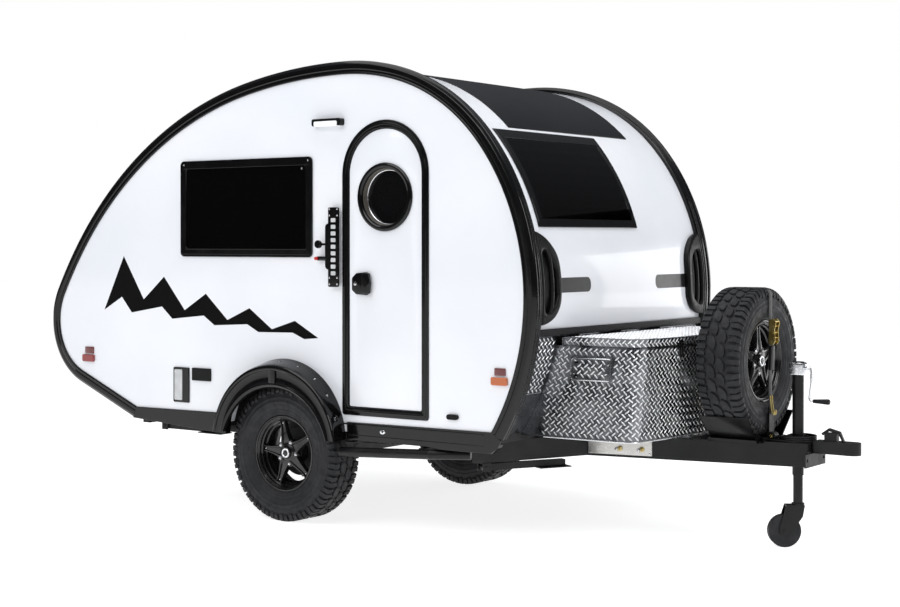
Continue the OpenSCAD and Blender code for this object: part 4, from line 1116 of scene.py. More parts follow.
def make_wheel(which, body, start_turn):
    centre, axis = wheel_centre(which)
    place = around(*centre, axis)
    casting = Parts()
    casting.lathe(0, RIM_SECTION, place, 96)
    casting.lathe(0, [(0.5, 30), (70, 30), (70, 44), (64, 53), (52, 55), (44, 58), (38, 63), (31, 64),
                      (31, 72), (28.5, 75.5), (0.5, 75.5)], place, 64)
    for k in range(5):
        casting.add(*wheel_arm(start_turn + math.tau * k / 5, place))
        pocket = start_turn + math.tau * (k + 0.5) / 5
        rim = off_centre(place, Vector((NUT_CIRCLE * math.cos(pocket), NUT_CIRCLE * math.sin(pocket))))
        casting.lathe(0, [(12.5, 45), (15.5, 45), (15.5, 59.5), (14.7, 60.5), (13.3, 60.5), (12.5, 59.5)],
                      rim, 20)
    hub = spot(*centre)
    nut_shape, stands, tips = Parts(), [], []
    nut_shape.add(*slab(circle_outline(0, 0, 9.8, 6), [], 46, 63, 1.0, 1))
    cap_points, cap_faces = dome(7.6, 5.5)
    nut_shape.add([(x, y, h + 62.5) for x, y, h in cap_points], cap_faces)
    for k in range(5):
        pocket = start_turn + math.tau * (k + 0.5) / 5
        out = Vector(axis)
        foot = place(NUT_CIRCLE, pocket, 0)
        stands.append((foot, out, place(NUT_CIRCLE + 1, pocket, 0) - foot))
        tip = place(154, start_turn + math.tau * k / 5, 50.2)
        tips.append((tip, out, place(155, start_turn, 50.2) - tip))
    nuts = copies("nuts", (nut_shape.points, nut_shape.faces), stands, bright_zinc)
    studs = copies("tip_bolts", dome(4.6, 3.4), tips, bright_zinc)
    ring = mesh_of("cap_ring", *ring_closed([(15, 75), (17, 76.6), (23, 76.6), (25, 75)], place, 48))
    boss = mesh_of("cap_boss", *ring_closed([(0.4, 75), (10, 75), (9, 76.8), (0.4, 77.6)], place, 32))
    drum = mesh_of("drum", *ring_closed(DRUM_SECTION, place, 64))
    name = which + "_star_wheel"
    whole = joined(name, [casting.mesh("casting"), nuts, studs, ring, boss, drum])
    add_piece(name, whole, [wheel_black, bright_zinc, bright_zinc, bright_zinc, wheel_black, under_black],
              body, [which + "_rim"], "rim", corner=34)
    valve = mesh_of("valve", *tube([Vector(centre) + Vector(p) for p in VALVE[which]], 3.2, 12))
    add_piece(which + "_valve", valve, satin_plastic, body, slot="tyre")


VALVE = {"right": [(120, -58, -110), (116, -80, -106)], "left": [(120, 58, -110), (116, 80, -106)],
         "spare": [(58, 120, -110), (80, 116, -106)]}
make_wheel("right", "right_wheel", 0.24)
make_wheel("left", "left_wheel", 0.1)
make_wheel("spare", "trailer", 0.0)

# %% [markdown]
# ## Wheel arches
# The arch moulding is drawn as a section that changes along its run: a sloping band with bolt
# pockets on top, a face with a sunk channel between two ridges, and a lip that rolls in over the
# tyre. The pockets are cut with a Boolean, since each is a plain scoop taken out of the plastic.

# %% Arch mouldings
def arch_point(circle, t):
    """A point at share t (0 front, 1 rear) of a circle's run above the moulding's feet."""
    x, z, radius = circle
    low = math.asin((446 - z) / radius)
    angle = low + (math.pi - 2 * low) * t
    return Vector((x + radius * math.cos(angle), z + radius * math.sin(angle)))


WALL_EDGE, FACE_EDGE, MOUTH_EDGE = (10, 434, 398), (8, 392, 415), (14, 326, 364)
BAND = [(0.0, 880.6), (0.0, 885), (0.06, 888), (0.35, 915), (0.7, 950), (0.95, 974)]
FACE = [(0.015, 981), (0.045, 985.5), (0.09, 988), (0.15, 989), (0.205, 988.4), (0.235, 986),
        (0.26, 980.5), (0.40, 978.5), (0.62, 979.5),
        (0.74, 981.5), (0.785, 985), (0.82, 988.6), (0.86, 989.8), (0.90, 988.6), (0.95, 984),
        (0.985, 976), (1.0, 966), (0.985, 960)]
INSIDE = [(0.90, 962), (0.5, 966), (0.16, 966)]


def arch_section(t):
    wall, face, mouth = (arch_point(c, t) for c in (WALL_EDGE, FACE_EDGE, MOUTH_EDGE))
    inwards = (Vector((10, 380)) - wall).normalized()
    loop = [(wall.lerp(face, f), y) for f, y in BAND]
    loop += [(face.lerp(mouth, f), y) for f, y in FACE]
    loop += [(face.lerp(mouth, f), y) for f, y in INSIDE]
    loop += [(wall.lerp(face, 0.75) + inwards * 16, 945), (wall + inwards * 17, 889),
             (wall + inwards * 17, 880.6)]
    return loop


def arch_moulding(name, side):
    count = 120
    sections = [arch_section(k / count) for k in range(count + 1)]
    points = [spot(p.x, side * y, p.y) for loop in sections for p, y in loop]
    mesh = mesh_of(name, *swept(points, len(sections[0])))
    mesh.materials.append(gloss_plastic.material)
    made = bpy.data.objects.new(name, mesh)
    bpy.context.scene.collection.objects.link(made)
    scoops, bolts = Parts(), []
    for degrees, deep in ((-54, 11), (-36, 11), (-18, 11), (0, 11), (18, 11), (36, 11), (52, 11), (70, 17)):
        t = 0.5 - degrees / (180 - 2 * 4)
        wall, face = arch_point(WALL_EDGE, t), arch_point(FACE_EDGE, t)
        out = (wall.lerp(face, 0.5) - Vector((10, 400))).normalized()
        share = 0.42 if deep < 15 else 0.5
        centre = wall.lerp(face, share) + out * (deep * 0.45)
        y = side * (888 + share * 92)
        ball = around(centre.x, y, centre.y, (out.x, 0, out.y))
        scoops.lathe(0, [(0.2, -deep), (deep * 0.75, -deep * 0.95), (deep * 1.15, -deep * 0.2),
                         (deep * 1.5, deep * 0.9), (0.2, deep)], ball, 24)
        bolts.append((spot(centre.x - out.x * deep * 0.98, y, centre.y - out.y * deep * 0.98),
                      Vector((out.x, 0, out.y)), Vector((0, 1, 0)),
                      (deep / 11,) * 3))
    cutter = bpy.data.objects.new("scoops", scoops.mesh("scoops"))
    bpy.context.scene.collection.objects.link(cutter)
    cut = made.modifiers.new("pockets", "BOOLEAN")
    cut.object, cut.solver = cutter, "EXACT"
    view = bpy.context.evaluated_depsgraph_get()
    cut_mesh = bpy.data.meshes.new_from_object(made.evaluated_get(view))
    for gone in (made, cutter):
        bpy.data.objects.remove(gone)
    heads = copies("heads", hex_head(8.5, 4.5, 1.2), bolts, bright_zinc)
    cover = Parts()
    span = [(-21, 0.16), (21, 0.16), (21, 0.8), (-21, 0.8)]
    top, low = arch_point(FACE_EDGE, 0.5).y, arch_point(MOUTH_EDGE, 0.5).y
    cover.add(*put(slab(rounded([(10 + x, top + (low - top) * f) for x, f in span][::-1], 4, 3), [], 972,
                        987.6, 2.0, 2),
                   lambda u, v, h: spot(u, side * h, v)))
    cut_mesh.materials.clear()
    add_piece(name, joined(name, [cut_mesh, cover.mesh("cover"), heads]),
              [gloss_plastic, gloss_plastic, bright_zinc],
              stands_for=[name.split("_")[0] + "_flare"], slot="flare", corner=26)


arch_moulding("right_arch_moulding", -1)
arch_moulding("left_arch_moulding", 1)
print("arch section of", len(arch_section(0.5)), "points")

# %% [markdown]
# ## Decals
# The dark shapes on the wall are cut vinyl: a zigzag ridge on the side, and one plain band with a
# rounded end at each side of the nose. The ridge follows a rule: five even steps, each peak lower
# than the last by the same share. Both are a few tenths of a millimetre thick.

# %% Wall and nose decals
RIDGE_START, RIDGE_END, PEAKS = -1330, 230, 5
RIDGE_FOOT, FOOT_FALL, FIRST_PEAK, PEAK_SHARE = 1050, 26, 300, 0.72
PEAK_STEP = (RIDGE_END - RIDGE_START) / PEAKS
skyline, foot = [(RIDGE_START, RIDGE_FOOT)], []
for peak in range(PEAKS):
    left, height = RIDGE_START + peak * PEAK_STEP, FIRST_PEAK * PEAK_SHARE ** peak
    base = RIDGE_FOOT - FOOT_FALL * peak
    skyline += [(left + 0.5 * PEAK_STEP, base + height),
                (left + PEAK_STEP, base - FOOT_FALL + 0.3 * height)]
    foot += [(left + 0.45 * PEAK_STEP, base + 0.25 * height), (left + 0.7 * PEAK_STEP, base - 10)]
RIDGE = skyline + foot[::-1]
ridge = slab(RIDGE[::-1], [], 0.05, 0.35, 0.05, 1)
add_piece("ridge_decal", mesh_of("ridge_decal", *put(ridge, right_side)), decal_black, slot="trim")

# Each band: its side, its ends across the nose, and the radius of the corners at each end.
for side_name, y0, y1, r0, r1 in (("right", -800, -333, 0, 30), ("left", 316, 800, 30, 0)):
    s0, s1 = sorted((nose_s(1188), nose_s(1259)))
    band = rounded([(s0, y0, r0), (s1, y0, r0), (s1, y1, r1), (s0, y1, r1)], 0, 6)
    flat = slab(band, [], 32.05, 32.4, 0.05, 1, cuts=steps_between(s0, s1, 22)[1:-1])
    add_piece(side_name + "_nose_band", mesh_of(side_name + "_nose_band", *put(flat, on_roof)),
              stripe_grey, slot="trim")
print("ridge points", len(RIDGE))

# %% [markdown]
# ## Pressed, moulded and welded parts
# A sheet-metal edge or a moulded corner is never razor sharp: a small radius along it catches the
# light. These parts keep the size they were drawn with and get that radius.

# %% Round the edges of a drawn part
body_of_node = {name: body for body, names in frame["record"]["behaviour"]["bodies"].items()
                for name in names}


def softened(node, radius, finish, slot, steps=2, turn=28):
    """The drawn part with its loose triangles welded, flats made whole and its edges rounded."""
    work = bmesh.new()
    work.from_mesh(nodes[node].data)
    bmesh.ops.remove_doubles(work, verts=work.verts, dist=0.00002)
    bmesh.ops.dissolve_limit(work, angle_limit=math.radians(0.6), verts=work.verts, edges=work.edges)
    mesh = bpy.data.meshes.new(node + "_soft")
    work.to_mesh(mesh)
    work.free()
    made = add_piece(node + "_finished", mesh, finish, body=body_of_node[node], stands_for=[node],
                     slot=slot, corner=turn)
    edge = made.modifiers.new("rounded_edges", "BEVEL")
    edge.width = radius / 1000
    edge.segments = steps
    edge.limit_method = "ANGLE"
    edge.angle_limit = math.radians(turn)
    edge.use_clamp_overlap = True
    return made


SOFT_PARTS = [
    ("window_frames", 2.5, gloss_plastic, "black_plastic", 2),
    ("tool_bracket", 4, gloss_plastic, "coupler_black", 3),
    ("tongue_beams", 5, frame_black, "frame_black", 2),
    ("spare_carrier", 1.2, frame_black, "frame_black", 2),
    ("coupler", 2.5, frame_black, "coupler_black", 3),
    ("jack_fork", 1.5, frame_black, "coupler_black", 2),
    ("utility_panel", 3, gloss_plastic, "black_plastic", 2),
    ("stabiliser_mounts", 1.2, frame_black, "frame_black", 2),
    ("box_lid", 2.5, plate_alloy, "checker_plate", 3),
    ("front_strip", 5, satin_plastic, "black_plastic", 3), ("roof_vent", 6, vent_white, "vent_white", 3),
    ("solar_panel", 1, solar_film, "solar", 2), ("amber_lamps", 3, amber_lens, "amber", 3),
    ("red_lamps", 3, red_lens, "red", 3), ("sills", 2, edge_black, "frame_black", 2),
]
for part, radius, finish, slot, steps in SOFT_PARTS:
    softened(part, radius, finish, slot, steps)
print("rounded", len(SOFT_PARTS), "parts")

# %% [markdown]
# ## Tread plate of the tongue box
# The plate's raised lugs stand in two crossing directions, in rows that follow the box round its
# corners. They lean with the side, and the hatch and the lid carry lugs of their own.

# %% Where the box wall stands
BOX_CORNER, BOX_BOW = 70, 50
BOX_LOW, BOX_RIM = (672, 1970, 512), (622, 1985, 941)
LID_TOP = 982
BOX_LEAN, BOX_RISE = BOX_LOW[0] - BOX_RIM[0], BOX_RIM[2] - BOX_LOW[2]


def plan_line(half, front, back):
    """One side of the box in plan, from the cabin round the corner to the middle of the front."""
    middle = front - BOX_BOW - BOX_CORNER
    line = [(back + (middle - back) * k / 12, -half) for k in range(12)]
    for k in range(9):
        turn = math.pi / 16 * k
        line.append((middle + BOX_CORNER * math.sin(turn), BOX_CORNER * (1 - math.cos(turn)) - half))
    line += [(front - BOX_BOW * (k / 12) ** 2, -k / 12 * (half - BOX_CORNER)) for k in range(11, -1, -1)]
    return line


def box_wall_point(share, z):
    """A point on the leaning wall: share is -1 at the right back edge, 0 in front, 1 at the left."""
    rise = (z - BOX_LOW[2]) / BOX_RISE
    back = body_point(nose_s(max(z, 545)), 38)[0] + 4 if z < BOX_RIM[2] else 1522
    low, high = plan_line(*BOX_LOW[:2], back), plan_line(*BOX_RIM[:2], back)
    line = [Vector(a).lerp(Vector(b), min(rise, 1.0)) for a, b in zip(low, high)]
    lengths = [0.0]
    for a, b in zip(line, line[1:]):
        lengths.append(lengths[-1] + (b - a).length)
    reach = lengths[-1] * (1 - abs(share))
    k = next((k for k in range(1, len(lengths) - 1) if lengths[k] >= reach), len(lengths) - 1)
    part = (reach - lengths[k - 1]) / (lengths[k] - lengths[k - 1])
    here = line[k - 1].lerp(line[k], part)
    return Vector((here.x, here.y if share <= 0 else -here.y, z))


def lug():
    """One raised lug: a pointed bar with a flat top, six-sided in plan."""
    foot = [(-15, 0), (-7, -3.9), (7, -3.9), (15, 0), (7, 3.9), (-7, 3.9)]
    top = [(x * 0.74, y * 0.45) for x, y in foot]
    points = [(x, y, -0.4) for x, y in foot] + [(x, y, 1.5) for x, y in top]
    faces = [[k, (k + 1) % 6, (k + 1) % 6 + 6, k + 6] for k in range(6)] + [list(range(6, 12))]
    return points, faces


LUG = lug()
LUG_PITCH = 35.0


def lugs_on(surface, u0, u1, v0, v1, keep=lambda u, v: True):
    """Stands for lugs over a patch of a surface given as surface(u, v) in mm, spaced evenly."""
    stands = []
    rows = max(1, round((v1 - v0) / (LUG_PITCH / 2)))
    count = max(1, round((u1 - u0) / LUG_PITCH))
    for row in range(rows):
        v = v0 + (v1 - v0) * (row + 0.5) / rows
        for k in range(count):
            u = u0 + (u1 - u0) * (k + 0.25 + 0.5 * (row % 2)) / count
            if not keep(u, v):
                continue
            here = surface(u, v)
            across = surface(u + 1, v) - surface(u - 1, v)
            upward = surface(u, v + 1) - surface(u, v - 1)
            out = across.cross(upward).normalized()
            along = across.normalized() * 0.75 + upward.normalized() * (0.66 if row % 2 else -0.66)
            stands.append((spot(*here), out, along))
    return stands


HALF_ROUND = 1210.0


def wall_surface(u, v):
    return box_wall_point(u / HALF_ROUND, v)


def off_hatch(u, v):
    here = wall_surface(u, v)
    return not (here.y < -600 and 1552 < here.x < 1790 and 775 < v < 897)


def on_hatch(u, v):
    return Vector((u, -634.5 - (835 - v) * BOX_LEAN / BOX_RISE - 0.4, v))


def lid_flange(u, v):
    here = box_wall_point(u / HALF_ROUND, BOX_RIM[2])
    return Vector((here.x, here.y, v))


def lid_face(u, v):
    return Vector((u, v, LID_TOP))


def on_lid(u, v):
    edge = BOX_RIM[1] - BOX_BOW * min(1, (abs(v) / 552) ** 2) - 20
    corner = max(0, abs(v) - 540)
    return u < edge - corner * 0.9 and abs(v) < 606


wall_lugs = lugs_on(wall_surface, -HALF_ROUND + 8, HALF_ROUND - 8, 522, 934, off_hatch)
wall_lugs += lugs_on(on_hatch, 1580, 1766, 797, 877)


def cladding_face(u, v):
    x, z = body_point(nose_s(v), 35.2)
    return Vector((x, u, z))


def beside_box(u, v):
    return abs(u) > BOX_RIM[0] + max(0, BOX_RIM[2] - v) * BOX_LEAN / BOX_RISE + 12


for side in (-1, 1):
    wall_lugs += lugs_on(cladding_face, min(side * 640, side * 812), max(side * 640, side * 812), 548,
                         980, beside_box)
box_lugs = copies("tongue_box_lugs", LUG, wall_lugs, lug_alloy)
add_piece("tongue_box_lugs", box_lugs, lug_alloy, slot="checker_plate")
lid_lugs = lugs_on(lid_flange, -HALF_ROUND + 8, HALF_ROUND - 8, 948, 976)
lid_lugs += lugs_on(lid_face, 1540, 1975, -606, 606, on_lid)
add_piece("box_lid_lugs", copies("box_lid_lugs", LUG, lid_lugs, lug_alloy), lug_alloy,
          body="tongue_box_lid", slot="checker_plate")
hem = Parts().bar(0, [box_wall_point(k / 60, 513) for k in range(-59, 60)], 3.2, 10)
for share, z in ((-0.3, 936), (0.3, 936)):
    here, beside = box_wall_point(share, z), box_wall_point(share + 0.01, z)
    facing = (beside - here).cross(Vector((0, 0, -1))).normalized()
    facing = facing if facing.x > 0 else -facing
    across = Vector((0, 0, 1)).cross(facing)

    def on_latch(u, v, h):
        return spot(*(here + across * u + Vector((0, 0, v)) + facing * h))

    hem.plate(on_latch, 1, rounded([(-17, -44), (17, -44), (20, -6), (17, 34), (-17, 34), (-20, -6)], 7,
                                   4), 1, 9, 3, 3)
    hem.plate(on_latch, 0, rounded([(-13, -62), (13, -62), (13, -40), (-13, -40)], 5, 4), 1, 4, 1, 2)
    hem.plate(on_latch, 1, rounded([(-9, -36), (9, -36), (9, 22), (-9, 22)], 5, 4), 8, 14, 3, 3)
add_piece("box_hem_and_latches", hem.mesh("box_hem_and_latches"), [bright_zinc, gloss_plastic],
          slot="checker_plate")
BORDER = rounded([(1562, -53), (1780, -53), (1780, 53), (1562, 53)], 16, 5)


def around_hatch(u, v, h):
    return spot(*(on_hatch(u, 836 + v) + Vector((0, -h, 0))))


rim = Parts().plate(around_hatch, 0, BORDER, -1, 2.6, 1.2, 2, holes=[inset(BORDER, 5)])
for v in (-30, 30):
    rim.plate(around_hatch, 1, box_outline(1582, 1600, v - 6, v + 6, 3), 0, 5, 1.5, 2)
add_piece("hatch_border", rim.mesh("hatch_border"), [bright_zinc, gloss_plastic], slot="checker_plate")
print("lugs on the box", len(wall_lugs), "and on the lid", len(lid_lugs))

# %% [markdown]
# ## Door, porthole and grab handles
# The door is a flat leaf with a round top in a beaded aluminium frame. Its porthole sits deep in a
# fat moulded ring. Each grab handle is a moulded pod with an upright bar across its recess.

# %% Door leaf and frame
DOOR_MIDDLE, DOOR_SPRING = 655, 1758


def arch_outline(half, bottom, corner=14):
    """An upright opening with a half-round top."""
    turns = [math.pi * k / 28 for k in range(29)]
    top = [(DOOR_MIDDLE + half * math.cos(t), DOOR_SPRING + half * math.sin(t)) for t in turns]
    left, right = DOOR_MIDDLE - half, DOOR_MIDDLE + half
    low = [(left, bottom + corner), (left + corner * 0.3, bottom + corner * 0.3), (left + corner, bottom),
           (right - corner, bottom), (right - corner * 0.3, bottom + corner * 0.3),
           (right, bottom + corner)]
    return low + top


frame_shape = Parts()
frame_shape.plate(right_side, 0, arch_outline(266, 571), -30, 6.5, 2.5, 3,
                  holes=[arch_outline(226, 611, 10)])
frame_shape.plate(right_side, 0, arch_outline(253, 584), 5, 10, 3, 3, holes=[arch_outline(240, 597, 10)])
frame_shape.plate(right_side, 1, arch_outline(227, 610, 10), -28, 2.4, 1.6, 2,
                  holes=[arch_outline(222.6, 614.4, 8)])
add_piece("door_surround", frame_shape.mesh("door_surround"), [edge_black, satin_plastic],
          stands_for=["door_frame"], slot="trim")
leaf = slab(arch_outline(222, 615, 8), [circle_outline(DOOR_MIDDLE, 1647, 148, 64)], -32, 0, 1.2, 2)
add_piece("door_leaf", mesh_of("door_leaf", *put(leaf, right_side)), shell_white, body="entry_door",
          stands_for=["door"], slot="skin")

# %% Porthole
RING = [(150, -34), (168, -1), (168, 5), (166, 9), (161, 11.6), (154, 12), (147, 11), (141.5, 7.5),
        (139.5, 2), (139.5, -4), (146, -34)]
REVEAL = [(139.6, -3), (137.4, -3), (135.4, -38), (139.6, -38)]
porthole = around(DOOR_MIDDLE, -WALL_OUT, 1647, (0, -1, 0))
ring = Parts().lathe(0, RING, porthole, 96).lathe(1, REVEAL, porthole, 96)
add_piece("porthole_moulding", ring.mesh("porthole_moulding"), [gloss_plastic, reveal_bronze],
          body="entry_door", stands_for=["porthole_ring"], slot="black_plastic")
bright = ring_closed([(135.2, -35), (135.2, -30), (133, -28.6), (130.5, -30), (130, -35)], porthole, 96)
add_piece("porthole_bright_ring", mesh_of("porthole_bright_ring", *bright), bright_zinc, body="entry_door",
          slot="steel")
pane = slab(circle_outline(DOOR_MIDDLE, 1647, 136, 64), [], -38, -34, 0.8, 1)
add_piece("porthole_pane", mesh_of("porthole_pane", *put(pane, right_side)), porthole_clear,
          body="entry_door",
          stands_for=["porthole_glass"], slot="glass")

# %% Door latch
latch = Parts()
latch_body = rounded([(456, 1190, 14), (482, 1170, 14), (548, 1166, 10), (560, 1180, 8), (560, 1268, 8),
                      (546, 1280, 10), (482, 1274, 14), (456, 1250, 14)], 0, 4)
paddle = rounded([(522, 1176, 8), (572, 1172, 10), (577, 1225, 20), (570, 1278, 10), (526, 1270, 8)], 0, 4)
latch.plate(right_side, 0, latch_body, 0, 15, 5, 4)
latch.plate(right_side, 0, paddle, 12, 27, 5, 4)
latch.plate(right_side, 1, circle_outline(480, 1222, 9, 24), 14, 17, 1, 2)
latch.plate(right_side, 0, box_outline(478.4, 481.6, 1216, 1228, 1), 16.5, 17.3, 0.2, 1)
add_piece("door_latch_and_lock", latch.mesh("door_latch_and_lock"), [gloss_plastic, bright_zinc],
          body="entry_door", stands_for=["door_latch"], slot="black_plastic")

# %% Grab handle pods
POD_EDGE = [(1473, 815), (1468, 790), (1445, 735), (1405, 686), (1362, 655), (1300, 641), (1180, 641),
            (1122, 655),
            (1075, 697), (1050, 757), (1042, 815)]
POD_HOLLOW = [(1388, 788), (1376, 742), (1344, 704), (1298, 682), (1182, 678), (1132, 702), (1104, 744),
              (1096, 788)]
POD_SIDES = [(side, along) for side in (-1, 1) for along in (nose_s, tail_s)]
pods = Parts()
for side, along in POD_SIDES:
    edge_line = [(along(z), side * y) for z, y in POD_EDGE]
    curve = [tuple(p)[:2] for p in smooth_path([(*p, 0) for p in edge_line], 3)]
    if area_of(curve) < 0:
        curve.reverse()
    hollow = [(along(z), side * y) for z, y in POD_HOLLOW]
    if area_of(hollow) < 0:
        hollow.reverse()
    hollow = rounded([(*corner, 18) for corner in hollow], 0, 3)
    cuts = steps_between(min(p[0] for p in curve), max(p[0] for p in curve), 24)[1:-1]
    pods.plate(on_roof, 0, curve, 31, 62, 13, 5, cuts, holes=[hollow])
    pods.plate(on_roof, 1, inset(curve, 23), 31, 36, 1, 1, cuts)
    grip = [(*body_point(along(z), d), side * y) for z, y, d in
            [(1400, 742, 46), (1372, 736, 53), (1330, 732, 57), (1240, 730, 58), (1150, 732, 57),
             (1112, 736, 53), (1088, 742, 46)]]
    pods.bar(0, smooth_path([(x, y, z) for x, z, y in grip], 6), 11.5, 16)
    for z, y in ((1430, 792), (1085, 792), (1258, 664)):
        x, height = body_point(along(z), 59)
        inner_x, inner_z = body_point(along(z), 40)
        out = Vector((x - inner_x, 0, height - inner_z)).normalized()
        head = around(x, side * y, height, out)
        pods.lathe(2, [(0.01, -2), (6, -2), (6, 1.6), (4.6, 3), (0.01, 3)], head, 16)
add_piece("grab_handle_pods", pods.mesh("grab_handle_pods"), [moulded_black, satin_plastic, edge_black],
          stands_for=["grab_handles"], slot="black_plastic")
print("pods", len(POD_SIDES))

# %% [markdown]
# ## Jack
# A black post through the tongue, a zinc gear head with a dark cap, a bent crank and its grip.

# %% Jack post, head and crank
JACK_X = 2420
jack = Parts()
post_at = around(JACK_X, 0, 0, (0, 0, 1))
jack.lathe(0, [(22.7, 337), (26.5, 337), (26.5, 808), (22.7, 808)], post_at, 48)
jack.lathe(0, [(26.4, 495.3), (49, 495.3), (50, 496.5), (50, 502), (48.8, 503), (31, 503), (28, 507),
               (26.4, 509)], post_at, 48)


def over_tongue(u, v, h):
    """Upright on the middle line: u forward, v up, h to the left."""
    return spot(u, h, v)


head_outline = rounded([(2386, 806), (2452, 806), (2457, 812), (2457, 856), (2448, 864), (2392, 864),
                        (2386, 856)], 4, 3)
jack.plate(over_tongue, 1, head_outline, -30, 30, 3, 3, round_back=True)
jack.lathe(2, [(0.01, 862), (30, 862), (30.5, 864), (29, 867), (20, 868), (0.01, 868)], post_at, 40)
shaft_at = around(2455, 0, 840, (1, 0, 0))
jack.lathe(1, [(0.01, 0), (11, 0), (11, 9), (8, 11), (8, 27), (0.01, 27)], shaft_at, 24)
crank = smooth_path([(2476, 0, 848), (2481, 0, 838), (2485, 0, 810), (2486, 0, 770), (2481, 0, 730),
                     (2477, 0, 702), (2480, 0, 690),
                     (2490, 0, 686), (2510, 0, 686)], 6)
jack.bar(1, crank, 5.2, 14)
grip_at = around(2496, 0, 686, (1, 0, 0))
jack.lathe(2, [(0.01, 0), (8, 0), (9, 2), (10, 20), (13, 70), (13, 76), (10.5, 80), (0.01, 80)], grip_at,
           28)
for quarter in range(4):
    turn = math.pi / 4 + quarter * math.pi / 2
    bolt = around(JACK_X + 39 * math.cos(turn), 39 * math.sin(turn), 503, (0, 0, 1))
    jack.lathe(1, [(0.01, -1), (7, -1), (7, 5), (6, 6), (0.01, 6)], bolt, 6)
add_piece("jack_upper", jack.mesh("jack_upper"), [frame_black, bright_zinc, satin_plastic],
          body=body_of_node["jack_post"], stands_for=["jack_post"], slot="coupler_black")

# %% [markdown]
# ## Spare wheel strap and gas plate
# Woven webbing over the tyre, a gold ratchet in front of the wheel and a hook at each end.

# %% Strap, ratchet and hooks
STRAP_Y = (-4, 32)
strap_line = rounded([(2162 - 112, 562), (2162 + 112, 562), (2162 + 112, 1212), (2162 - 112, 1212)], 38, 6)
strap = Parts()
strap.plate(over_tongue, 0, strap_line, STRAP_Y[0], STRAP_Y[1], 0.8, 2, holes=[inset(strap_line, 2.6)],
            round_back=True)
for low in (STRAP_Y[0] - 4, STRAP_Y[1] + 1):
    cheek = rounded([(2273, 945), (2296, 938), (2308, 960), (2304, 1010), (2312, 1046), (2300, 1066),
                     (2276, 1060)], 6, 3)
    strap.plate(over_tongue, 1, cheek, low, low + 3, 0.8, 1, round_back=True)
for x, z, radius in ((2285, 955, 5), (2298, 975, 4), (2290, 1000, 8), (2297, 1030, 5), (2303, 1052, 5),
                     (2283, 1048, 4)):
    strap.bar(1, [(x, STRAP_Y[0] - 6, z), (x, STRAP_Y[1] + 6, z)], radius, 14)
pad = rounded([(2275, 820), (2284, 820), (2288, 935), (2275, 935)], 3, 3)
strap.plate(over_tongue, 2, pad, STRAP_Y[0] - 3, STRAP_Y[1] + 3, 1.5, 2, round_back=True)
for x, lean in ((2277, 8), (2047, -8)):
    for y in (4, 24):
        hook = smooth_path([(x, y, 700), (x + lean * 0.4, y, 660), (x + lean, y, 628),
                            (x + lean * 2.2, y, 610), (x + lean * 2.6, y, 632)], 5)
        strap.bar(1, hook, 3.4, 10)
add_piece("spare_strap_and_ratchet", strap.mesh("spare_strap_and_ratchet"),
          [webbing, gold_zinc, satin_plastic],
          stands_for=["spare_strap"], slot="strap")


# %% Gas plate
def on_right_beam(u, v, h):
    """Onto the outer face of the right tongue beam: u forward, v up, h outwards."""
    return spot(u - 0.196 * h, -(575 - 0.2 * u) - 0.98 * h, v)


GAS_X = (1452, 1768)
gas = Parts()
gas.plate(on_right_beam, 0, box_outline(GAS_X[0], GAS_X[1], 397, 481, 3), 0.4, 3.2, 0.8, 2)
for u in (1612, 1722):
    for profile, number in (([(0.01, 2), (13, 2), (13, 9), (10, 12), (10, 26), (0.01, 26)], 1),
                            ([(0.01, 26), (7.5, 26), (7.5, 36), (5, 39), (0.01, 39)], 2)):
        seat = around(u, -(575 - 0.2 * u), 428, (-0.196, -0.98, 0))
        gas.lathe(number, profile, seat, 20 if number == 2 else 6)
for u in (GAS_X[0] + 10, GAS_X[1] - 10):
    for v in (407, 471):
        seat = around(u, -(575 - 0.2 * u), v, (-0.196, -0.98, 0))
        gas.lathe(2, [(0.01, 2), (5, 2), (4.6, 4.6), (0.01, 5.4)], seat, 14)
add_piece("gas_plate_and_taps", gas.mesh("gas_plate_and_taps"), [stainless, gold_zinc, bright_zinc],
          stands_for=["gas_plate"], slot="stainless")

# %% Window rails, tool bracket fittings and reflectors
def screw(u, v, h, radius, place_out=(0, -1, 0)):
    """A small zinc screw head on the right wall."""
    return ring_closed([(0.01, 0), (radius, 0), (radius, 1), (radius * 0.7, 2.4), (0.01, 2.6)],
                       around(u, -WALL_OUT - h, v, place_out), 14)


def face_out(node, above):
    """How far a drawn part stands out from the right wall, looking only above a height in mm."""
    above_it = [vert.co for vert in nodes[node].data.vertices if vert.co.z * 1000 > above]
    return max(-place.y for place in above_it) * 1000 - WALL_OUT


rails = Parts()
for u0, u1, v0, v1 in ((-706, 172, 1816, 1825), (-690, 160, 1388, 1394), (-716, 182, 1362, 1368)):
    rails.plate(right_side, 0, box_outline(u0, u1, v0, v1, 2), 6, 11.5, 2, 2)
for u, v in ((-702, 1838), (168, 1840), (128, 1800)):
    rails.add(*screw(u, v, 9.5, 4.5), 1)
add_piece("side_window_rails", rails.mesh("side_window_rails"), [gloss_plastic, bright_zinc],
          slot="black_plastic")

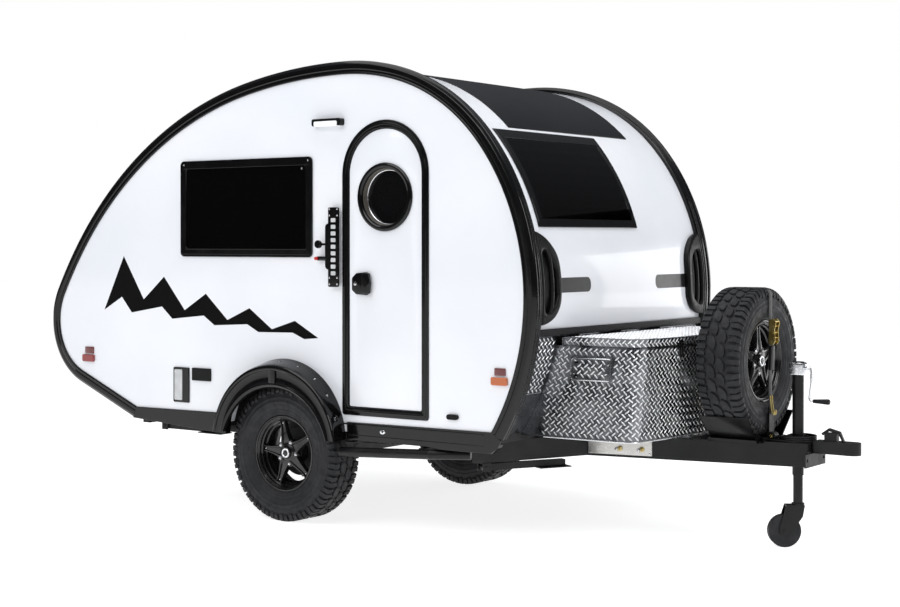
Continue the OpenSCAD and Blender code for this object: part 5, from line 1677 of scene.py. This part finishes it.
bracket = Parts()
for row in range(9):
    z = 1262 + row * 33
    bracket.plate(right_side, 2, box_outline(336, 366, z, z + 20, 4), 29.4, 30.8, 0.4, 1)
for u in (326, 376):
    for v in (1218, 1250, 1560, 1592):
        bracket.add(*screw(u, v, 30, 5), 1)
knob = around(262, -WALL_OUT - 18, 1416, (0, -1, 0))
bracket.lathe(0, [(0.01, 0), (9, 0), (9, 12), (20, 14), (21, 18), (20, 27), (17, 29), (0.01, 29)], knob, 28)
bracket.bar(0, [(292, -WALL_OUT - 24, 1416), (262, -WALL_OUT - 24, 1416)], 6, 14)
bracket.bar(3, [(231, -WALL_OUT - 26, 1345), (246, -WALL_OUT - 26, 1345)], 9, 18)
add_piece("tool_bracket_fittings", bracket.mesh("tool_bracket_fittings"),
          [gloss_plastic, bright_zinc, panel_grey, red_mark], slot="coupler_black")

markers = Parts()
red_face, amber_face = face_out("red_lamps", 800), face_out("amber_lamps", 806)
markers.plate(right_side, 0, box_outline(-1482, -1414, 802, 839, 4), 1, red_face + 0.8, 1, 2)
markers.plate(right_side, 0, box_outline(1302, 1363, 807, 842, 4), 1, amber_face + 0.8, 1, 2)
add_piece("side_reflectors", markers.mesh("side_reflectors"), [dark_red_lens], slot="red")

# %% Sill bead and its fitting
sill_out = face_out("sills", 400)
beads = Parts()
for z, thick in ((527, 4.0), (474, 2.6)):
    beads.bar(0, [(404, -WALL_OUT - sill_out, z), (1240, -WALL_OUT - sill_out, z)], thick, 12)
oval = circle_outline(646, 500, 17, 28, squash=0.62)
beads.plate(right_side, 1, oval, sill_out - 1, sill_out + 3, 1.5, 3)
beads.plate(right_side, 0, circle_outline(646, 500, 5, 16), sill_out + 2, sill_out + 4, 0.8, 2)
add_piece("sill_beads", beads.mesh("sill_beads"), [edge_black, bright_zinc], slot="frame_black")

# %% [markdown]
# Small fittings on the right wall: the porch light's lens and the grey face of the hook-up panel.

# %% Porch light and hook-up panel
small = Parts()
light_face = face_out("side_fittings", 1990)
small.plate(right_side, 0, box_outline(228, 378, 2004, 2030, 9), 2, light_face + 2.5, 3, 3)
panel_face = face_out("utility_panel", 560)
small.plate(right_side, 1, box_outline(-774, -716, 580, 744, 6), panel_face - 3, panel_face + 2, 1.5, 2)
for u in (-767, -723):
    for v in (590, 734):
        small.add(*screw(u, v, panel_face + 1.5, 4), 2)
add_piece("porch_lens_and_panel_face", small.mesh("porch_lens_and_panel_face"),
          [lamp_white, panel_grey, bright_zinc], slot="grey_plastic")
print("door, pods, jack, strap and gas plate made")

# %% [markdown]
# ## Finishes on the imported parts
# Parts whose shape is already right keep it, and take a finish. Every node is listed, so nothing
# is left in the plain colour it was packed with.

# %% Hand out the finishes
FINISH_OF_SLOT = {
    "frame_black": frame_black, "coupler_black": frame_black, "steel": bright_zinc,
    "floor": under_black, "skin": shell_white, "vent_white": vent_white, "trim": edge_black,
    "black_plastic": moulded_black, "glass": dark_glass, "solar": solar_film,
    "flare": moulded_black, "tyre": tyre_rubber, "rim": wheel_black, "checker_plate": plate_alloy,
    "stainless": stainless, "strap": webbing, "amber": amber_lens, "red": red_lens,
    "grey_plastic": panel_grey, "cable_black": satin_plastic,
}
# The nose cladding takes the darker copy of the plate finish, which is painted shade.
FINISH_OF_NODE = {"jack_inner_tube": frame_black, "front_cladding": plate_in_painted_shade}
slot_of_node = {row["node"]: row["material_slot"] for row in frame["record"]["subparts"]}
for name, node in nodes.items():
    finish = FINISH_OF_SLOT.get(slot_of_node.get(name, ""), frame_black)
    finish = FINISH_OF_NODE.get(name, finish)
    node.data.materials.clear()
    node.data.materials.append(finish.material)
print("nodes", len(nodes), "with a slot", len(slot_of_node))
